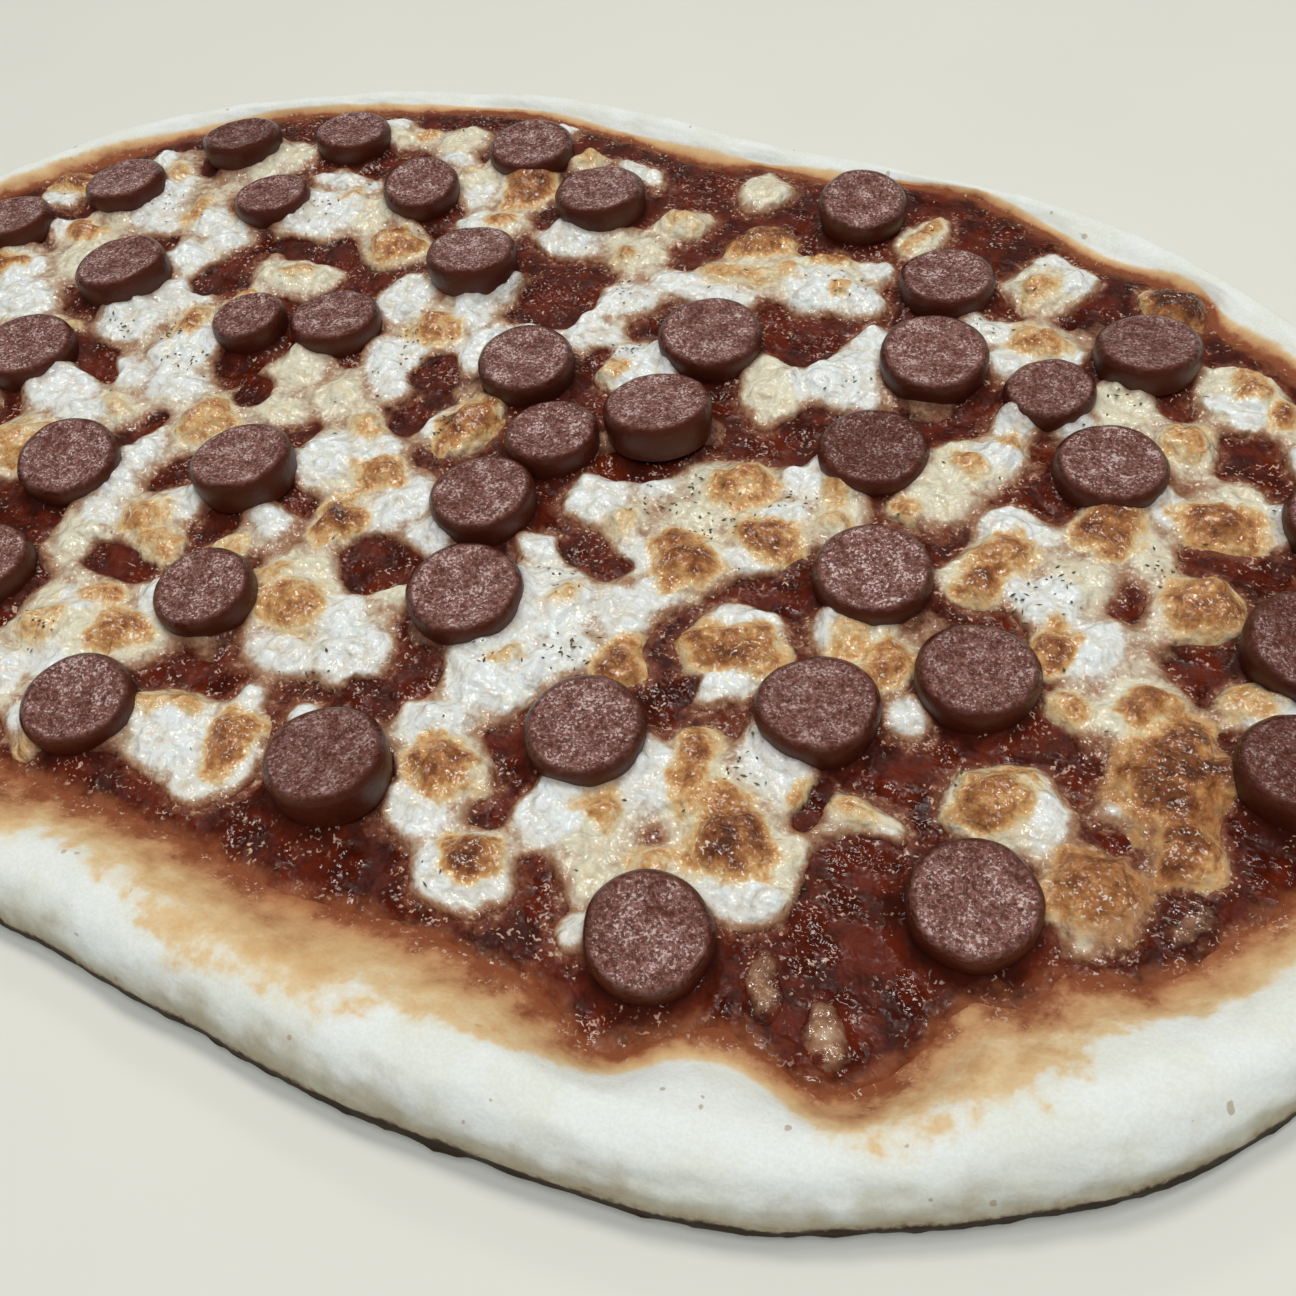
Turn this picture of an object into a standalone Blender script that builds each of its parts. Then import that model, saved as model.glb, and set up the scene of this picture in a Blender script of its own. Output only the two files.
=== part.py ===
"""A large oval pizza, stretched by hand and left whole: a flat dough with a raised rim, a layer of
tomato sauce, melted mozzarella and thick slices of frankfurter sausage.

Metres, +Z up. X runs along the oval and Y across it, from the middle of the base. Y is negative on
the side where the rim is broad. Places on the pizza are given in millimetres.
"""

import math

import bmesh
import bpy
import numpy as np
from mathutils import Matrix, Vector

MM = 0.001
GAP = 0.3 * MM

# The dough: its outer edge seen from above, and the heights of its floor and rim.
CRUST_EDGE = [
    (213, 0), (210, 32), (199, 60), (183, 80), (163, 95), (142, 109), (118, 120), (88, 128),
    (52, 132), (18, 133), (-16, 138), (-50, 140), (-88, 134), (-124, 120), (-154, 104),
    (-178, 81), (-197, 52), (-209, 22), (-213, -10), (-206, -46), (-190, -76), (-163, -100),
    (-128, -117), (-88, -127), (-45, -133), (0, -137), (38, -140), (74, -140), (108, -136),
    (140, -125), (170, -107), (192, -83), (206, -50),
]
FLOOR_TOP = 7.2 * MM
RIM_BASE_HEIGHT = 8.6 * MM
RIM_RISE = 0.32
RIM_UNEVENNESS = 0.05
SIDES_ROUND = 88
WIDEST_RIM = 60 * MM
LOOK_ASIDE = 15 * MM

# The rim's section. Outside the crown: how far in and how high, as shares of the rim's height.
# Inside it: how far down the slope and how high, as shares of the slope.
RIM_OUTSIDE = [(0.34, 0), (0.12, 0.13), (0, 0.42), (0.07, 0.68)]
RIM_INSIDE = [(0.35, 0.72), (0.7, 0.25)]
CROWN_OF_HEIGHT = 0.75
CROWN_OF_WIDTH = 0.45
CROWN_SHOULDER = 0.1

# The sauce: its ragged edge, on the foot of the rim, and the heights of its flat part.
SAUCE_EDGE = [
    (197, -8), (195, 18), (187, 46), (176, 66), (163, 79), (147, 89), (143, 99), (128, 103),
    (113, 107), (103, 114), (88, 121), (78, 125), (60, 126), (43, 122), (22, 124), (11, 121),
    (-15, 126), (-34, 129), (-57, 131), (-80, 126), (-121, 113), (-149, 94), (-159, 83),
    (-175, 66), (-187, 52), (-196, 28), (-199, -2), (-194, -33), (-178, -60), (-152, -80),
    (-120, -94), (-85, -104), (-50, -108), (-10, -109), (22, -112), (45, -110), (66, -111),
    (76, -114), (84, -118), (91, -116), (99, -109), (108, -108), (120, -112), (130, -107),
    (136, -97), (139, -89), (147, -87), (153, -79), (166, -75), (176, -63), (186, -49),
    (193, -31),
]
SAUCE_TOP = 9.5 * MM
SAUCE_LIP = 0.8 * MM
SAUCE_ROUNDING = 2.0 * MM
SAUCE_SHELVING = 7.0 * MM

# The sausage slices: x, y, width, thickness, lean in degrees, and the way that the lean faces.
SLICES = [
    (-123, 89, 22.0, 6.5, 8, 121), (-93, 101, 21.0, 6.0, 4, 60), (-145, 62, 22.5, 6.0, 6, 150),
    (-167, 38, 22.0, 6.0, 5, 121), (-99, 68, 21.0, 5.6, 5, 121), (-60, 83, 21.0, 6.5, 5, -59),
    (-39, 108, 23.0, 6.5, 2, -59), (-10, 91, 23.5, 7.5, 4, 121), (-30, 57, 23.4, 8.0, 7, 100),
    (57, 104, 21.6, 7.2, 11, -59), (85, 83, 22.8, 6.0, 3, 121), (134, 70, 22.8, 7.0, 6, 121),
    (90, 55, 24.3, 7.0, 4, -59), (117, 52, 19.5, 5.6, 5, 210), (39, 47, 23.8, 7.0, 4, -59),
    (1, 26, 22.6, 7.0, 4, -59), (38.5, 18, 23.8, 8.5, 8, 115), (17.5, 6, 21.2, 6.5, 2, 121),
    (86, 24, 24.0, 5.0, 2, 0), (134, 33, 23.2, 6.5, 1, 0), (12, -16.5, 23.0, 7.0, 3, 160),
    (-120, 28, 24.0, 7.5, 5, 150), (-75, 21, 18.6, 6.0, 4, 200), (-53, 27, 22.3, 6.0, 4, 121),
    (-125, -6, 24.0, 6.5, 3, 30), (-87, -36, 23.0, 6.0, 9, -40), (-45, -25, 23.5, 8.0, 6, 140),
    (-86, -69, 23.0, 6.5, 3, 90), (-32, -59, 21.6, 6.5, 5, 240), (21, -41.5, 24.0, 7.0, 3, -59),
    (97, -10, 24.3, 6.5, 1, 0), (123, -28, 23.2, 6.5, 2, 60), (177, -3, 23.0, 7.0, 7, -59),
    (-40, -92, 22.5, 6.5, 3, -59), (59, -64, 22.8, 7.0, 3, -59), (98, -45, 23.4, 6.5, 3, 121),
    (17, -88, 23.5, 8.5, 5, 140), (180, -30, 22.0, 7.0, 4, 121), (87, -98.5, 22.4, 6.5, 8, -59),
    (135, -74, 22.6, 6.5, 7, -59), (-170, 4, 22.5, 6.5, 4, 20), (-150, -31, 23.2, 7.0, 5, 170),
    (-180, -28, 21.4, 6.0, 6, 10), (-118, -44, 22.4, 6.5, 3, 300), (-156, -60, 22.0, 7.0, 4, 80),
    (-124, -75, 23.0, 6.0, 2, 200), (-101, -87, 21.0, 6.5, 5, 90), (179, 32, 22.0, 6.5, 4, 200),
]
SLICE_SIDES = 16
SLICE_ROUNDING = 1.1 * MM
SLICE_TAPER = 0.97

# The cheese: pieces of mozzarella that melted where they lay, as x, y, two half widths and a turn.
MELTED = [
    (-165, 61, 8, 6, 0), (-147, 46, 10, 6, -20), (-133, 66, 7, 11, 30), (-117, 58, 9, 9, 0),
    (-104, 54, 8, 7, 0), (-111, 86, 5, 11, -15), (-81, 72, 15, 11, 0), (-84, 111, 9, 5, -20),
    (-63, 112, 8, 7, 0), (-52, 95, 7, 9, -20), (-57, 62, 9, 8, 0), (-22, 111, 6, 5, 0),
    (-7, 109, 11, 4, -25), (-34, 94, 7, 8, 0), (-35, 79, 11, 7, 0), (-13, 78, 10, 8, 0),
    (13, 91, 7, 7, 0), (6, 78, 9, 8, 0), (36, 90, 8, 7, 0), (28, 111, 8, 9, 0), (14, 60, 10, 8, 0),
    (14, 44, 11, 7, 0), (34, 69, 17, 7, 0), (74, 102, 5, 10, -10), (106, 92, 11, 10, 0),
    (58, 79, 16, 10, 0), (105, 68, 13, 9, 0), (73, 60, 7, 8, 0), (69, 49, 13, 9, 0),
    (135, 91, 8, 6, 0), (131, 55, 9, 7, 0), (147, 47, 7, 7, 0), (155, 66, 12, 10, 0),
    (-146, 31, 9, 12, 0), (-145, 12, 13, 9, 0), (-112, 43, 11, 6, 0), (-106, 22, 13, 14, 0),
    (-88, 5, 13, 13, 0), (-90, -12, 11, 7, 0), (-69, -9, 10, 10, 0), (-107, -16, 12, 8, 0),
    (-106, -33, 10, 9, 0), (-77, -30, 6, 10, 0), (-69, -44, 11, 6, 0), (-54, -40, 9, 7, 0),
    (-55, 11, 11, 8, 0), (-52, -4, 10, 7, 0), (-76, 42, 14, 8, 0), (-41, 43, 9, 10, 0),
    (-21, 46, 6, 12, -20), (-34, 21, 9, 12, 0), (-40, 5, 12, 9, 0), (-13, 30, 7, 11, 0),
    (-5, 6, 9, 11, 0), (-28, -13, 11, 12, 0), (-11, -20, 8, 13, 0), (34, -7, 8, 8, 0),
    (54, -15, 12, 9, 0), (26, 33, 11, 9, 0), (45, 2, 9, 7, 0), (42, -36, 15, 11, 0),
    (58, 31, 8, 14, 0), (57, 7, 11, 9, 0), (77, 11, 9, 11, 0), (68, -2, 15, 7, 0),
    (77, -33, 12, 11, 0), (96, -25, 6, 8, 0), (107, -30, 7, 9, 0), (104, 31, 11, 10, 0),
    (101, 18, 8, 10, 0), (121, 11, 12, 8, 20), (116, -2, 7, 10, 0), (133, 1, 11, 10, 0),
    (138, 17, 8, 8, 0), (140, -12, 10, 10, 0), (156, 28, 12, 10, 0), (152, -24, 10, 11, 0),
    (157, 5, 9, 8, 0), (171, -16, 8, 6, 0), (-73, -52, 10, 8, 0), (-59, -74, 13, 12, 0),
    (-44, -72, 11, 8, 0), (-46, -58, 6, 10, 0), (-15, -52, 11, 9, 0), (-10, -66, 12, 7, 0),
    (5, -59, 10, 9, 0), (-20, -90, 11, 11, 0), (-6, -89, 8, 12, 0), (-49, -99, 6, 6, 0),
    (35, -56, 13, 12, 0), (32, -74, 10, 9, 0), (36, -87, 10, 9, 0), (50, -97, 10, 9, 0),
    (60, -79, 8, 8, 0), (70, -79, 11, 7, 0), (78, -64, 9, 12, 20), (93, -60, 13, 6, -40),
    (94, -77, 12, 11, 0), (114, -64, 6, 5, 0), (136, -51, 12, 10, 0), (108, -98, 4, 7, 0),
    (119, -99, 5, 8, 20), (163, -41, 9, 13, 0), (153, -64, 10, 10, 0), (-185, 18, 8, 10, 0),
    (-187, -8, 7, 10, 0), (-168, -16, 9, 8, 0), (-156, 24, 9, 9, 0), (-147, -8, 9, 10, 0),
    (-132, -27, 9, 9, 0), (-137, -47, 9, 9, 0), (-168, -44, 9, 8, 0), (-140, -73, 7, 9, 0),
    (-108, -62, 10, 8, 0), (-101, -76, 8, 6, 0), (-112, -86, 7, 6, 0), (-70, -92, 10, 9, 0),
    (182, 14, 9, 8, 0), (174, 52, 7, 8, 0),
]
CHEESE_BASE = SAUCE_TOP + GAP
CHEESE_RISE = 1.6 * MM
CHEESE_SWELL = 0.2
MELT_SPREAD = 1.8
DOME_SIDES = 8
DOME_RINGS = 2
HALF_WAY = 0.01
CHEESE_PIECES = 10
SMALLEST_PIECE = 30 * MM**3
CRUMB_SINKS = 0.75 * MM


def clear_scene():
    for thing in list(bpy.data.objects):
        bpy.data.objects.remove(thing)


def new_collection(name):
    collection = bpy.data.collections.new(name)
    bpy.context.scene.collection.children.link(collection)
    return collection


def food_colour(name, colour, roughness):
    material = bpy.data.materials.new(name)
    material.use_nodes = True
    shader = material.node_tree.nodes["Principled BSDF"]
    shader.inputs["Base Color"].default_value = (*colour, 1)
    shader.inputs["Roughness"].default_value = roughness
    shader.inputs["Metallic"].default_value = 0
    return material


def put(name, shape, collection, material=None):
    """An object made of a bmesh, which it uses up."""
    mesh = bpy.data.meshes.new(name)
    shape.to_mesh(mesh)
    shape.free()
    mesh.shade_smooth()
    mesh.set_sharp_from_angle(angle=math.radians(50))
    if material:
        mesh.materials.append(material)
    thing = bpy.data.objects.new(name, mesh)
    collection.objects.link(thing)
    return thing


def smooth_line(points, steps=8):
    """A closed curve through the points, in metres."""
    here = np.array(points) * MM
    last, after, beyond = np.roll(here, 1, 0), np.roll(here, -1, 0), np.roll(here, -2, 0)
    t = np.arange(steps)[:, None, None] / steps
    curve = here + (after - last) / 2 * t
    curve = curve + (last - 2.5 * here + 2 * after - beyond / 2) * t**2
    curve = curve + (1.5 * here - last / 2 - 1.5 * after + beyond / 2) * t**3
    return curve.transpose(1, 0, 2).reshape(-1, 2)


def even_steps(line, count):
    """Places at equal distances along a closed line."""
    closed = np.vstack([line, line[:1]])
    along = np.concatenate([[0], np.cumsum(np.hypot(*np.diff(closed, axis=0).T))])
    wanted = np.arange(count) / count * along[-1]
    return np.stack([np.interp(wanted, along, closed[:, k]) for k in (0, 1)], axis=1)


def inward(line):
    """The direction to the inside at each place of a closed line that runs anticlockwise."""
    ahead = np.roll(line, -1, 0) - np.roll(line, 1, 0)
    ahead /= np.hypot(*ahead.T)[:, None]
    return np.stack([-ahead[:, 1], ahead[:, 0]], axis=1)


def width_to(edge, aim, line):
    """How far it is from each place of an edge, straight in, to another closed line."""
    widths = []
    for place, direction in zip(edge, aim):
        deep = (line - place) @ direction
        aside = (line - place) @ np.array([direction[1], -direction[0]])
        near = (deep < WIDEST_RIM) & (abs(aside) < LOOK_ASIDE)
        order = np.argsort(aside[near])
        widths.append(np.interp(0, aside[near][order], deep[near][order]))
    return np.array(widths)


EDGE = even_steps(smooth_line(CRUST_EDGE), SIDES_ROUND)
AIM = inward(EDGE)
RIM_WIDTH = width_to(EDGE, AIM, smooth_line(SAUCE_EDGE))


def stack_rings(rings):
    """A closed solid through rings of equal count, the first at its bottom and the last on top."""
    shape = bmesh.new()
    made = [[shape.verts.new(place) for place in ring] for ring in rings]
    shape.faces.new(list(reversed(made[0])))
    shape.faces.new(made[-1])
    for lower, upper in zip(made, made[1:]):
        for k in range(len(lower)):
            after = (k + 1) % len(lower)
            shape.faces.new((lower[k], lower[after], upper[after], upper[k]))
    return shape


def ring_at(inset, height):
    """A ring of places that lie so far in from the crust's edge, at a height."""
    flat = EDGE + AIM * np.broadcast_to(inset, len(EDGE))[:, None]
    return np.column_stack([flat, np.broadcast_to(height, len(EDGE))])


def rim_height():
    """The broad side rises most, and hands have left all of it a little uneven."""
    turn = np.arange(SIDES_ROUND) / SIDES_ROUND * math.tau
    uneven = np.sin(5 * turn + 1) + 0.7 * np.sin(9 * turn) + 0.5 * np.sin(16 * turn + 2)
    return (RIM_BASE_HEIGHT + RIM_RISE * RIM_WIDTH) * (1 + RIM_UNEVENNESS * uneven / 2)


def make_dough(collection, material):
    top = rim_height()
    crown = np.minimum(CROWN_OF_HEIGHT * top, CROWN_OF_WIDTH * RIM_WIDTH)
    slope = RIM_WIDTH - crown
    foot = SAUCE_TOP - SAUCE_LIP - GAP
    rings = [ring_at(inset * top, height * top) for inset, height in RIM_OUTSIDE]
    rings += [ring_at(crown / 2, top - CROWN_SHOULDER * (top - foot)), ring_at(crown, top)]
    for along, height in RIM_INSIDE:
        rings.append(ring_at(crown + along * slope, foot + height * (top - foot)))
    rings += [ring_at(RIM_WIDTH, foot), ring_at(RIM_WIDTH + SAUCE_SHELVING, FLOOR_TOP)]
    return put("dough", stack_rings(rings), collection, material)


def sauce_shape():
    lip_top = SAUCE_TOP - SAUCE_LIP / 3
    rings = [
        ring_at(RIM_WIDTH + SAUCE_SHELVING, FLOOR_TOP + GAP),
        ring_at(RIM_WIDTH, SAUCE_TOP - SAUCE_LIP),
        ring_at(RIM_WIDTH, lip_top),
        ring_at(RIM_WIDTH + SAUCE_ROUNDING, SAUCE_TOP),
    ]
    return stack_rings(rings)


def slice_object(name, place, grown, collection, material=None):
    """One slice, or with some growth the socket that it sits in."""
    x, y, width, thickness, lean, facing = place
    radius = width / 2 * MM
    height = thickness * MM + 2 * grown
    shape = bmesh.new()
    bmesh.ops.create_cone(
        shape,
        cap_ends=True,
        segments=SLICE_SIDES,
        radius1=radius * SLICE_TAPER + grown,
        radius2=radius + grown,
        depth=height,
    )
    rim = [e for e in shape.edges if all(v.co.z > 0 for v in e.verts)]
    bmesh.ops.bevel(shape, geom=rim, offset=SLICE_ROUNDING, segments=1, affect="EDGES")
    thing = put(name, shape, collection, material)
    tilt = math.radians(lean)
    lift = radius * SLICE_TAPER * math.sin(tilt) + thickness * MM / 2 * math.cos(tilt)
    middle = CHEESE_BASE + lift
    tip = Matrix.Rotation(tilt, 4, Vector((0, 0, 1)).cross(heading(facing)))
    thing.matrix_world = Matrix.Translation((x * MM, y * MM, middle)) @ tip
    return thing


def heading(degrees):
    return Vector((math.cos(math.radians(degrees)), math.sin(math.radians(degrees)), 0))


def dome(name, place, collection):
    """One melted piece: the upper half of a flattened ball."""
    x, y, half_x, half_y, turn = place
    rise = CHEESE_RISE + CHEESE_SWELL * min(half_x, half_y) * MM
    shape = bmesh.new()
    bmesh.ops.create_uvsphere(
        shape, u_segments=DOME_SIDES, v_segments=2 * DOME_RINGS, radius=1
    )
    below = [v for v in shape.verts if v.co.z < -HALF_WAY]
    bmesh.ops.delete(shape, geom=below, context="VERTS")
    bmesh.ops.contextual_create(shape, geom=[e for e in shape.edges if e.is_boundary])
    size = ((half_x + MELT_SPREAD) * MM, (half_y + MELT_SPREAD) * MM, rise)
    bmesh.ops.scale(shape, vec=size, verts=shape.verts)
    bmesh.ops.rotate(shape, matrix=Matrix.Rotation(math.radians(turn), 3, "Z"), verts=shape.verts)
    bmesh.ops.translate(shape, vec=(x * MM, y * MM, CHEESE_BASE), verts=shape.verts)
    return put(name, shape, collection)


def combine(thing, operation, collection):
    """Applies one Boolean with every object of a collection."""
    change = thing.modifiers.new("combine", "BOOLEAN")
    change.operation = operation
    change.operand_type = "COLLECTION"
    change.collection = collection
    change.solver = "EXACT"
    bpy.context.view_layer.update()
    graph = bpy.context.evaluated_depsgraph_get()
    mesh = bpy.data.meshes.new_from_object(thing.evaluated_get(graph))
    thing.modifiers.clear()
    thing.data = mesh


def remove_collection(collection):
    for thing in list(collection.objects):
        bpy.data.objects.remove(thing)
    bpy.data.collections.remove(collection)


def loose_bodies(thing):
    """A bmesh for each body of an object, the largest first."""
    whole = bmesh.new()
    whole.from_mesh(thing.data)
    left = set(whole.verts)
    bodies = []
    while left:
        body = set()
        reached = {left.pop()}
        while reached:
            body |= reached
            reached = {e.other_vert(v) for v in reached for e in v.link_edges} - body
        left -= body
        numbers = {v.index for v in body}
        copy = whole.copy()
        others = [v for v in copy.verts if v.index not in numbers]
        bmesh.ops.delete(copy, geom=others, context="VERTS")
        bodies.append(copy)
    whole.free()
    return sorted(bodies, key=lambda body: body.calc_volume(), reverse=True)


def make_slices(parts, sockets, colour):
    for k, place in enumerate(SLICES):
        slice_object(f"slice_{k + 1:02d}", place, 0, parts, colour)
        slice_object(f"socket_{k + 1:02d}", place, GAP, sockets)


def make_cheese(parts, sockets, crumbs, colour):
    """The largest pieces are bodies of their own, and the small ones are left for the sauce."""
    domes = new_collection("domes")
    first = dome("melted", MELTED[0], parts)
    for k, place in enumerate(MELTED[1:]):
        dome(f"dome_{k}", place, domes)
    combine(first, "UNION", domes)
    remove_collection(domes)
    combine(first, "DIFFERENCE", sockets)
    for k, body in enumerate(loose_bodies(first)):
        if k < CHEESE_PIECES:
            put(f"cheese_{k + 1}", body, parts, colour)
        elif body.calc_volume() > SMALLEST_PIECE:
            bmesh.ops.translate(body, vec=(0, 0, -CRUMB_SINKS), verts=body.verts)
            put(f"crumb_{k}", body, crumbs)
    bpy.data.objects.remove(first)


def make_sauce(parts, crumbs, colour):
    sauce = put("sauce", sauce_shape(), parts, colour)
    combine(sauce, "UNION", crumbs)


def main():
    clear_scene()
    parts = new_collection("pan_pizza")
    sockets = new_collection("sockets")
    crumbs = new_collection("crumbs")
    make_dough(parts, food_colour("baked_dough", (0.80, 0.68, 0.48), 0.75))
    make_slices(parts, sockets, food_colour("sausage", (0.21, 0.075, 0.06), 0.45))
    make_cheese(parts, sockets, crumbs, food_colour("mozzarella", (0.82, 0.72, 0.50), 0.3))
    make_sauce(parts, crumbs, food_colour("tomato_sauce", (0.16, 0.025, 0.012), 0.35))
    remove_collection(sockets)
    remove_collection(crumbs)


main()
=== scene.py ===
"""The looks of a large oval pizza: a hand-stretched dough with a thick pale rim, dark baked tomato
sauce, melted and browned mozzarella, thick slices of sausage and a dusting of dried herbs.

Metres, +Z up, in the frame's own place. The plan of the toppings is worked out in millimetres.
"""

import math

import bpy
import numpy as np
from mathutils import Matrix, Vector


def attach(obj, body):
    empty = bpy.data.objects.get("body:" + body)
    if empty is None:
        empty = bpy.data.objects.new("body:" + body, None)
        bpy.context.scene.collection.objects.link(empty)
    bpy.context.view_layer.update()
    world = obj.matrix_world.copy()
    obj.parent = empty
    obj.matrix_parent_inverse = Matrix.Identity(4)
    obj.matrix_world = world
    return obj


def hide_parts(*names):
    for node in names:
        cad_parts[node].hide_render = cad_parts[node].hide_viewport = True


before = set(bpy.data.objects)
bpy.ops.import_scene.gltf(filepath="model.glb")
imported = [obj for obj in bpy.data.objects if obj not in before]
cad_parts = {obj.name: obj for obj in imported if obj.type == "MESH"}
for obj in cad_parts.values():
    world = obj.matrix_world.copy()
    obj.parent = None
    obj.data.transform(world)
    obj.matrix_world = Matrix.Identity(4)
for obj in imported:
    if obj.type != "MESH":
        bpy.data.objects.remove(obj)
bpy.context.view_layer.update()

# The view: a camera held above the broad side of the rim, tipped a little to its right, over a
# plain pale floor. The light hangs overhead: one wide soft lamp, which gives no glints of its own,
# and small ones that make them. A lamp is its name, place, width, power and colour.
MM = 0.001
CAMERA_AT = (150.1 * MM, -188.4 * MM, 225.8 * MM)
CAMERA_TURN = 31.0
CAMERA_DIP = 51.1
CAMERA_ROLL = 9.3
CAMERA_LENS = 38.9
CAMERA_SENSOR = 36
CAMERA_NEAR = 0.01
FLOOR_SIZE = 3.0
FLOOR_COLOUR = (0.80, 0.80, 0.73)
FLOOR_SHADE = 0.95
SKY_COLOUR = (0.96, 0.99, 1.0)
SKY_STRENGTH = 0.12
LAMP_COOL = (0.975, 1.0, 1.01)
LAMP_WARM = (1.0, 0.965, 0.91)
LAMPS = [
    ("lamp_wide", (0.30, -0.46, 1.38), 1.1, 11.0, LAMP_COOL),
    ("lamp_key", (-0.16, 0.36, 1.48), 0.34, 6.6, LAMP_WARM),
    ("lamp_side", (0.42, 0.28, 1.40), 0.22, 2.4, LAMP_WARM),
    ("lamp_far", (-0.55, 0.85, 1.05), 0.20, 1.6, LAMP_WARM),
]

camera_data = bpy.data.cameras.new("camera")
camera_data.lens = CAMERA_LENS
camera_data.sensor_width = CAMERA_SENSOR
camera_data.clip_start = CAMERA_NEAR
camera = bpy.data.objects.new("camera", camera_data)
bpy.context.scene.collection.objects.link(camera)
camera.matrix_world = (
    Matrix.Translation(CAMERA_AT)
    @ Matrix.Rotation(math.radians(CAMERA_TURN), 4, "Z")
    @ Matrix.Rotation(math.radians(90 - CAMERA_DIP), 4, "X")
    @ Matrix.Rotation(math.radians(-CAMERA_ROLL), 4, "Z")
)
bpy.context.scene.camera = camera

for name, place, size, power, colour in LAMPS:
    lamp_data = bpy.data.lights.new(name, "AREA")
    lamp_data.shape = "DISK"
    lamp_data.size = size
    lamp_data.energy = power
    lamp_data.color = colour
    lamp = bpy.data.objects.new(name, lamp_data)
    bpy.context.scene.collection.objects.link(lamp)
    lamp.location = place
    lamp.visible_glossy = name != "lamp_wide"
    lamp.rotation_mode = "QUATERNION"
    lamp.rotation_quaternion = (-Vector(place)).to_track_quat("-Z", "Y")

world = bpy.data.worlds.new("sky")
world.use_nodes = True
world.node_tree.nodes["Background"].inputs["Color"].default_value = (*SKY_COLOUR, 1)
world.node_tree.nodes["Background"].inputs["Strength"].default_value = SKY_STRENGTH
bpy.context.scene.world = world
bpy.context.scene.view_settings.view_transform = "Standard"


class Wire:
    """A node's output. Arithmetic on it adds the Math nodes that it needs."""

    def __init__(self, finish, socket):
        self.finish = finish
        self.socket = socket

    def maths(self, operation, *values):
        return self.finish.node("ShaderNodeMath", {"operation": operation}, dict(enumerate(values)))

    def __add__(self, other):
        return self.maths("ADD", self, other)

    def __radd__(self, other):
        return self.maths("ADD", other, self)

    def __sub__(self, other):
        return self.maths("SUBTRACT", self, other)

    def __rsub__(self, other):
        return self.maths("SUBTRACT", other, self)

    def __mul__(self, other):
        return self.maths("MULTIPLY", self, other)

    def __rmul__(self, other):
        return self.maths("MULTIPLY", other, self)

    def __abs__(self):
        return self.maths("ABSOLUTE", self)

    def step(self, low, high):
        """0 below low, 1 above high, and smooth between."""
        settings = {"interpolation_type": "SMOOTHSTEP"}
        inputs = {"Value": self, "From Min": low, "From Max": high}
        return self.finish.node("ShaderNodeMapRange", settings, inputs)


class Finish:
    """One material while it is made, around a Principled shader."""

    def __init__(self, name):
        self.material = bpy.data.materials.new(name)
        self.material.use_nodes = True
        self.tree = self.material.node_tree
        self.shader = self.tree.nodes["Principled BSDF"]

    def node(self, kind, settings, inputs, output=0):
        made = self.tree.nodes.new(kind)
        for name, value in settings.items():
            if name == "stops":
                ramp = made.color_ramp
                while len(ramp.elements) < len(value):
                    ramp.elements.new(1)
                for element, (place, colour) in zip(ramp.elements, value):
                    element.position = place
                    element.color = (*colour, 1)
            else:
                setattr(made, name, value)
        self.feed(made, inputs)
        return Wire(self, made.outputs[output])

    def feed(self, made, inputs):
        for name, value in inputs.items():
            if isinstance(value, Wire):
                self.tree.links.new(value.socket, made.inputs[name])
            elif isinstance(value, tuple) and len(value) == 3 and made.inputs[name].type == "RGBA":
                made.inputs[name].default_value = (*value, 1)
            else:
                made.inputs[name].default_value = value

    def blend(self, share, first, second, how="MIX"):
        """A colour between two others."""
        settings = {"data_type": "RGBA", "blend_type": how}
        return self.node("ShaderNodeMix", settings, {0: share, 6: first, 7: second}, 2)

    def measure(self, name):
        """A value that the mesh holds at each point."""
        return self.node("ShaderNodeAttribute", {"attribute_name": name}, {}, "Fac")

    def place(self):
        return self.node("ShaderNodeTexCoord", {}, {}, "Object")

    def noise(self, size, detail=2.0, rough=0.5):
        """Noise about one half, with bumps of a size in mm."""
        inputs = {"Vector": self.place(), "Scale": 1 / (size * MM), "Detail": detail, "Roughness": rough}
        return self.node("ShaderNodeTexNoise", {}, inputs, "Fac")

    def glitter(self, size):
        """Short broken strokes for painted glints, 1 on a stroke."""
        line = 1 - abs(self.noise(size, 1) - 0.5).step(0.02, 0.07)
        return line * self.noise(size * 0.7, 1).step(0.54, 0.63)

    def bumps(self, height, depth):
        """A normal from a height between 0 and 1 that stands for a depth in mm."""
        inputs = {"Strength": 1.0, "Distance": depth * MM, "Height": height}
        return self.node("ShaderNodeBump", {}, inputs)

    def done(self, **inputs):
        self.feed(self.shader, {name.replace("_", " "): value for name, value in inputs.items()})
        return self.material


def make_piece(name, points, faces, material, **measures):
    """A smooth mesh with its points in mm, and values at each point for its material."""
    mesh = bpy.data.meshes.new(name)
    mesh.from_pydata((points * MM).tolist(), [], [list(map(int, face)) for face in faces])
    mesh.shade_smooth()
    mesh.materials.append(material)
    for label, values in measures.items():
        held = mesh.attributes.new(label, "FLOAT", "POINT")
        held.data.foreach_set("value", np.ascontiguousarray(values, np.float32).ravel())
    piece = bpy.data.objects.new(name, mesh)
    bpy.context.scene.collection.objects.link(piece)
    return piece


def floor_finish():
    made = Finish("pale_floor")
    cloud = made.noise(60, 3)
    shade = made.blend(cloud, FLOOR_COLOUR, tuple(FLOOR_SHADE * c for c in FLOOR_COLOUR))
    return made.done(Base_Color=shade, Roughness=0.8, Specular_IOR_Level=0.2)


corner = FLOOR_SIZE / MM / 2
floor_points = np.array([
    (-corner, -corner, 0), (corner, -corner, 0), (corner, corner, 0), (-corner, corner, 0),
])
floor = make_piece("floor", floor_points, np.array([(0, 1, 2, 3)]), floor_finish())


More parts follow.
